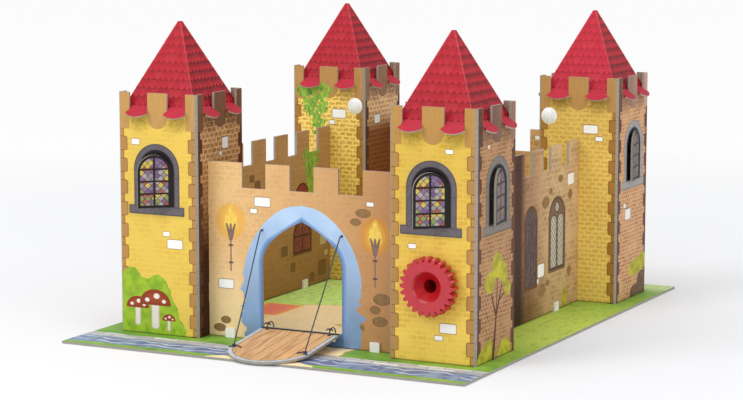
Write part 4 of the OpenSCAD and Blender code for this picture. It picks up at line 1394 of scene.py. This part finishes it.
def left_inner_art(page):
    edge = arch(page, 58, 84, 13, 58)
    page.fill("#963e34", edge)
    page.lay("#54281e", edge.line(1.6))
    arched_window(page, 58, 34, 64, 16, "#96463c", "#845e3a")
    dark = [
        (-24, 105, 10, 8), (-34, 112, 8, 6), (24, 39, 12, 9), (40, 22, 9, 8), (96, 14, 15, 14), (76, 8, 9, 8),
        (10, 70, 10, 7),
    ]
    white_stones(page, dark, "#745636", "#86643e")
    white_stones(page, [(98, 40, 13, 10), (104, 27, 7, 6), (-70, 90, 12, 7)], WALL_INK, "#ceb88e")
    draw_ivy(page, [(76, 120, 30, 20), (75, 106, 20, 26), (75, 94, 11, 18)])


def plain_stones(page):
    cobbles(page, [(-40, 96, 9, 6), (52, 30, 9, 6), (46, 22, 7, 5)])
    white_stones(page, [(-20, 60, 14, 8), (40, 104, 13, 8), (62.3, 137.6, 5.4, 4.4)], WALL_INK)


def left_outer_art(page):
    plain_stones(page)
    for x in (-52, 66):
        arched_window(page, x, 34, 100, 16, "#bea082", "#b0845c")
    draw_bush(page, [(4, 4, 34, 26), (22, 2, 30, 18), (-96, 3, 22, 16)])


def back_outer_art(page):
    plain_stones(page)
    plain_door(page, 14, 16, 92)
    draw_bush(page, [(-50, 4, 40, 28), (-34, 2, 30, 18), (62, 3, 30, 20)])


WALLS = {
    "front_wall": (0, sand, front_art, umber, plain_stones),
    "right_wall": (1, russet, right_art, umber, plain_stones),
    "back_wall": (2, sand, back_outer_art, amber, plain_stones),
    "left_wall": (3, sand, left_outer_art, umber, left_inner_art),
}
for node, (side, outer_look, outer_art, inner_look, inner_art) in WALLS.items():
    foot, turn = middle_foot(node), side * QUARTER
    outer = wall_face(node + "_outside", foot, turn, outer_look, outer_art)
    inner = wall_face(node + "_inside", foot, turn + math.pi, inner_look, inner_art)
    dress_sheet(node, SIDES[side], outer, inner)

# %% [markdown]
# ## The board
# The board is the ground: lawn with a few strokes of grass, a path through the gate, a strip of paving
# along the front, and the moat with pale ripples. In the courtyard lies a red carpet with an orange
# border. Seen at a low angle most of it is a thin green rim, so the print stays simple.

# %% Print and dress the board
LAWN, DEEP_LAWN = "#88b442", "#649434"
COURT = (1.75, 15.1, 246, 334, 2)
RIGHT_LAWN = 128
PATH_X, PATH_HALF = 2, 46
PATH_FRONT, PATH_BACK = -182, -100
YARD, YARD_FRONT = (-22, -82, 210, 196), -149
ISLAND = (18, -66, 62, 26)
CARPET = (-96, -29, 36, 52, 1.5)
PAVING_Y, PAVING_HALF = -190.5, 6.8
SLAB = (24, 7, 0)
MOAT_BACK, MOAT_FRONT = -197, -222
RIPPLES = ((-203, 0.12, 0.0), (-214, 0.095, 2.0))
LANDING = (2.5, -240, 108, 52)


def print_board():
    page = open_page("board_print", (0, 0, board_top), lie_flat=True)
    x, y = page.x, page.y
    shaky = shaken(page, 0.05, 7.0)
    rough_x, rough_y = split(shaky)
    streak = stretched(page, (1.0, 0.25, 1))
    court = block(page, *COURT)
    right = (RIGHT_LAWN - x).inside(6)
    page.lay(paint(LAWN, DEEP_LAWN, grain(page, 0.035, 3.0).ramp(0.4, 0.65)))
    # Painted light and shade: the right-hand lawn is paler in its middle and darker near the feet of the
    # right towers.
    page.lay("#ccde62", right * y.ramp(150, 20, 0.1, 0.9) * y.ramp(-140, -60, 0.1, 1))
    page.lay("#e0eaaa", right * y.ramp(196, 222, 0, 0.7))
    # Painted light: the lawn inside the walls is paler, against the walls' shade.
    page.lay("#d8fe8e", court.inside(4) * 0.85)
    blades = grain(stretched(page, (0.5, 0.16, 1)), 0.5, 3.0)
    page.lay("#609232", blades.ramp(0.54, 0.62, 0, 0.35))
    path = (abs(rough_x - PATH_X) - PATH_HALF).most(PATH_FRONT - rough_y).most(rough_y - PATH_BACK)
    yard = oval(shaky, *YARD).most(YARD_FRONT - rough_y)
    paved = path.least(yard).most(-oval(shaken(page, 0.05, 5.0), *ISLAND))
    sandy = paint("#ffeebe", "#ffdca4", grain(page, 0.2, 4.0).ramp(0.4, 0.65))
    page.lay("#e89654", (paved - 1.6).inside(1.0) * 0.7)
    page.fill(sandy, paved, 1.0)
    carpet = block(page, *CARPET)
    page.fill("#ffc45c", carpet)
    page.fill("#fa8e76", carpet + 3.2)
    page.lay("#faba6a", (carpet + 6.5).line(0.9))
    paving = abs(rough_y - PAVING_Y) - PAVING_HALF
    slabs = place(shaken_bricks, page, size=SLAB, gap=0.7)
    slab = paint("#e2e0de", "#acacaa", slabs["tint"])
    page.fill(paint(slab, "#828292", slabs["joint"]), paving, 1.0)
    moat = (rough_y - MOAT_BACK).most(MOAT_FRONT - rough_y)
    water = paint("#687296", "#8698b0", grain(streak, 0.08, 2.0).ramp(0.4, 0.6))
    for middle, turns, start in RIPPLES:
        wave = (x * turns + start).math("SINE") * 2.4 + (x * turns * 2.7).math("SINE") * 1.1 + y - middle
        water = paint(water, "#ecf2fa", wave.line(1.3, 0.6) * grain(page, 0.045).ramp(0.36, 0.46))
    page.fill(water, moat, 1.0)
    landing = oval(shaken(page, 0.08, 5.0), *LANDING)
    page.fill(sandy, landing, 1.0)
    flowers = place(pointed_leaves, streak, size=13.0)["edge"]
    green = (-joined([paved, carpet, paving, moat, landing])).inside()
    page.lay("#faf8ec", (flowers + 0.4).inside(0.05) * green * court.inside())
    return finish_card(page)


dress_sheet("base_board", UPWARD, print_board(), board_back)

# %% [markdown]
# ## The drawbridge
# The drawbridge shows planks with a grey rim, and a black band of painted shadow along the hinge. Planks
# could be cut one by one, but the real ones are printed on one card, so they are too: each plank draws its
# own tint and its own grain, stretched along it.

# %% Print and dress the drawbridge
PLANK_W = 9.6
BORDER_IN = 32.0
TIP_BACK = 43.76
TIP_R = 33.7
HINGE_SHADOW = 4.0


def print_planks(name, light, dark):
    page = open_page(name, HINGE, lie_flat=True)
    x = page.x
    along = page.y * (-1 / math.cos(BRIDGE_SLOPE))
    planks = x / PLANK_W + 0.5
    number = planks.whole()
    veins = grain(put(page.tree, "CombineXYZ", {0: x, 1: along * 0.06, 2: number * 7.3}), 0.9, 5.0)
    wood = paint(light, dark, veins.ramp(0.38, 0.66))
    wood = paint(wood, "#e2b27a", chance(page.tree, number, "1D").ramp(0, 1, 0, 0.55))
    seam = (0.5 - abs(planks.rest() - 0.5)) * PLANK_W
    wood = paint(wood, "#603e26", (seam - 0.3).inside(0.5) * 0.9)
    field = (span(x, (along - TIP_BACK).most(0)) - TIP_R).most(abs(x) - BORDER_IN)
    page.lay(paint("#c4c8cc", "#a8acb4", grain(page, 0.3, 3.0).ramp(0.4, 0.65)))
    page.fill(wood, field)
    page.lay("#706058", field.line(0.6))
    # Painted shadow: a black band along the hinge, for the gap there.
    page.fill("#221e20", along - HINGE_SHADOW)
    return finish_card(page)


planks_above = print_planks("planks_above", "#deb482", "#a8764a")
# Painted shade: the underside's planks are a darker copy of the top's.
planks_below = print_planks("planks_below", "#be8e5c", "#8e623c")
dress_sheet("drawbridge", UPWARD, planks_above, planks_below)

# %% [markdown]
# ## Plastic and cord
# The gear is moulded red plastic with a satin sheen, the clips and rivets are white, and both have the
# faint ripple and the dull patches that handling leaves. The gear's hollow is made of flat facets, so its
# normals are turned round the axis in the material. The cord is dark, nearly black, and its colour
# follows the strands along the cord's own UV map.

# %% Materials for plastic and cord
RIPPLE_DEPTH = 0.15 * MM
CONE_IN, CONE_FRONT = 0.7, 0.714
RIM = (11.4, 12.5)
BORE_R = 6 * MM
NEAR = 0.06


@node_group({"colour": "Color"}, {"colour": "Color", "roughness": "Float", "height": "Float"})
def moulded_plastic(point, colour):
    ripple, wear = grain(point, 0.08, 2.0), grain(point, 0.6, 4.0)
    colour = paint(colour, ripple.ramp(0.3, 0.7, 0.94, 1.04), 1.0, "MULTIPLY")
    return {"colour": colour, "roughness": wear.ramp(0.35, 0.7, 0.23, 0.28), "height": ripple + wear * 0.03}


@node_group({"outwards": "Float", "forwards": "Float"}, {"way": "Vector", "radius": "Float"})
def turned_surface(point, outwards, forwards):
    """The way that a surface turned about the gear's axis looks, bent to the front at the hollow's rim."""
    flat = stretched(point, (1, 0, 1))
    out_way = put(point.tree, "VectorMath", {0: flat}, operation="NORMALIZE")
    radius = put(point.tree, "VectorMath", {0: flat}, out=1, operation="LENGTH")
    front = put(point.tree, "CombineXYZ", {1: radius.ramp(*RIM, 0, -1.6) - forwards})
    way = put(point.tree, "VectorMath", {0: out_way, 1: outwards, 2: front}, operation="MULTIPLY_ADD")
    way = put(point.tree, "VectorMath", {0: way}, operation="NORMALIZE")
    turn = {"vector_type": "NORMAL", "convert_from": "OBJECT", "convert_to": "WORLD"}
    return {"way": put(point.tree, "VectorTransform", {0: way}, **turn), "radius": radius}


def plastic(name, colour):
    page = open_page(name, (0, 0, 0), lie_flat=True)
    made = place(moulded_plastic, page, colour=colour)
    bump = (0.35, RIPPLE_DEPTH, made["height"])
    return shade(
        page.material, made["colour"], made["roughness"], bump, {"Coat Weight": 0.35, "Coat Roughness": 0.12}
    )


def turned_plastic(name, inward, forward, gloss):
    """Red plastic darkened as painted shade, its shading turned round the gear's axis, shining at the
    hollow's rim.
    """
    page = open_page(name, GEAR_AXIS, lie_flat=True)
    turned = place(turned_surface, page, outwards=-inward, forwards=forward)
    # Painted shade: the hollow and the bore take a darker red than the rest of the gear.
    made = place(moulded_plastic, page, colour="#b4141c")
    bump = (0.35, RIPPLE_DEPTH, made["height"], turned["way"])
    shine = turned["radius"].ramp(RIM[0] - 0.4, RIM[0] + 0.2, gloss, 1)
    more = {"Specular IOR Level": 0.16, "Coat Weight": shine, "Coat Roughness": 0.05}
    return shade(page.material, made["colour"], made["roughness"] + 0.1, bump, more)


def rivet_plastic(node):
    """White plastic with two rings and a cross embossed on a rivet's head."""
    low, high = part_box(node)
    page = open_page(node + "_head", (low + high) / 2)
    made = place(moulded_plastic, page, colour="#fcfcfa")
    out = span(page.x, page.y)
    cross = abs(page.x).least(abs(page.y)).line(0.5, 0.3) * (out - 3.2).inside()
    marks = (out - 3.4).line(0.5, 0.3).most((out - 5.2).line(0.5, 0.3)).most(cross)
    colour = paint(made["colour"], "#bec0c4", marks * 0.6)
    bump = (0.5, 0.2 * MM, made["height"] - marks * 0.6)
    return shade(page.material, colour, made["roughness"], bump, {"Coat Weight": 0.2})


def cord_material():
    material, tree = new_material("dark_cord")
    lay = put(tree, "UVMap", {}, uv_map="lay")
    along, around = split(lay)
    strand = abs(((around - along) * STRANDS).rest() - 0.5) * 2
    fibre = grain(stretched(lay, (26, 60, 1)), 1.0, 3.0)
    colour = paint("#464a54", "#1a1b20", strand.ramp(0.4, 1.0))
    colour = paint(colour, "#686c74", fibre.ramp(0.55, 0.75, 0, 0.6))
    return shade(material, colour, fibre.ramp(0.3, 0.7, 0.6, 0.85), (0.5, 0.06 * MM, fibre), {})


# %% Dress the plastic parts and the cords
red_plastic = plastic("gear_red", "#be1e2e")
# The clips' white is tinted faintly pink, to offset the green light that the lawn throws on them.
white_plastic = plastic("clip_white", "#fff8f8")
gear_hollow = turned_plastic("gear_hollow", CONE_IN, CONE_FRONT, 0.0)
gear_bore = turned_plastic("gear_bore", 1.0, 0.0, 0.9)
dark_cord = cord_material()


def choose_gear(normal, spot):
    away = (spot - GEAR_AXIS) * Vector((1, 0, 1))
    inward = -normal.dot(away.normalized())
    if abs(inward - CONE_IN) < NEAR and abs(-normal.y - CONE_FRONT) < NEAR:
        return gear_hollow
    return gear_bore if inward > 0.95 and away.length < BORE_R else red_plastic


def dress_plain(node, material):
    dress(node, lambda normal, spot: material)


card_nodes = {"base_board", "drawbridge", *WALLS}
card_nodes.update(part + corner for part in ("tower_", "roof_") for corner in TOWERS)
for node, solid in frame["nodes"].items():
    if node == "winch_gear":
        dress(node, choose_gear)
    elif node in ("rivet_left", "rivet_right"):
        dress_plain(node, rivet_plastic(node))
    elif node not in card_nodes:
        plastics = {"red_plastic": red_plastic, "white_plastic": white_plastic}
        dress_plain(node, plastics.get(solid.data.materials[0].name, dark_cord))
cords = [piece for piece in scene.objects if piece.type == "MESH" and "lay" in piece.data.uv_layers]
for piece in cords:
    piece.data.materials.append(dark_cord)
print(len(cords), "cord pieces,", len(frame["nodes"]) - len(card_nodes), "plain solids")

# %% [markdown]
# ## The studio
# The picture shows the castle on white, with a soft shadow to its right. A wide floor gives the
# shadow, one large lamp gives it its side, and the world fills the rest. The background must not be
# white because of strong lamps, so the camera alone sees the floor brighter than it is.

# %% Build the studio
FLOOR_HALF = 6.0
FLOOR_DROP = 0.2 * MM
WHITE = (1, 1, 1, 1)
WORLD_STRENGTH = 0.72
CASTLE_MIDDLE = (0, 0, 0.1)


def seen_white(tree, output, plain, white, share=None):
    """Ends a tree in a plain shader that camera rays see as white, all of it or a share."""
    seen = put(tree, "LightPath", {}, out="Is Camera Ray")
    seen = share * seen if share else seen
    put(tree, output, {"Surface": put(tree, "MixShader", {0: seen, 1: plain, 2: white})})


def soft_lamp(name, stand, size, power):
    """A square area lamp that looks at the castle."""
    bpy.ops.object.light_add(type="AREA", location=stand)
    lamp = bpy.context.object
    lamp.name, lamp.data.size, lamp.data.energy = name, size, power
    lamp.rotation_euler = (Vector(CASTLE_MIDDLE) - Vector(stand)).to_track_quat("-Z", "Y").to_euler()


bpy.ops.object.select_all(action="DESELECT")
bpy.ops.mesh.primitive_plane_add(size=2 * FLOOR_HALF, location=(0, 0, -FLOOR_DROP))
floor = bpy.context.object
floor.name = "studio_floor"
floor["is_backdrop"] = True
paper, tree = new_material("studio_paper")
far = put(tree, "VectorMath", {0: put(tree, "TexCoord", {}, out="Object")}, out=1, operation="LENGTH")
matt = put(tree, "BsdfDiffuse", {"Color": (0.8, 0.8, 0.81, 1)})
seen_white(
    tree, "OutputMaterial", matt, put(tree, "Emission", {"Color": WHITE}), far.ramp(0.35, 1.3, 0.12, 0.93)
)
floor.data.materials.append(paper)

scene.world = bpy.data.worlds.new("studio")
scene.world.use_nodes = True
tree = scene.world.node_tree
tree.nodes.clear()
fill = put(tree, "Background", {"Color": (0.95, 0.97, 1, 1), "Strength": WORLD_STRENGTH})
seen_white(tree, "OutputWorld", fill, put(tree, "Background", {"Color": WHITE}))

soft_lamp("key_lamp", (-1.3, -2.0, 1.9), 1.3, 24)
soft_lamp("fill_lamp", (2.2, -1.0, 1.2), 1.6, 12)
soft_lamp("top_lamp", (-0.1, -0.5, 2.4), 1.8, 22)
scene.view_settings.view_transform = "Standard"
print("floor, three lamps and a pale world")

# %% Write the sizes and finish
low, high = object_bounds()
print("visual box in mm:", [round(side / MM) for side in high - low])
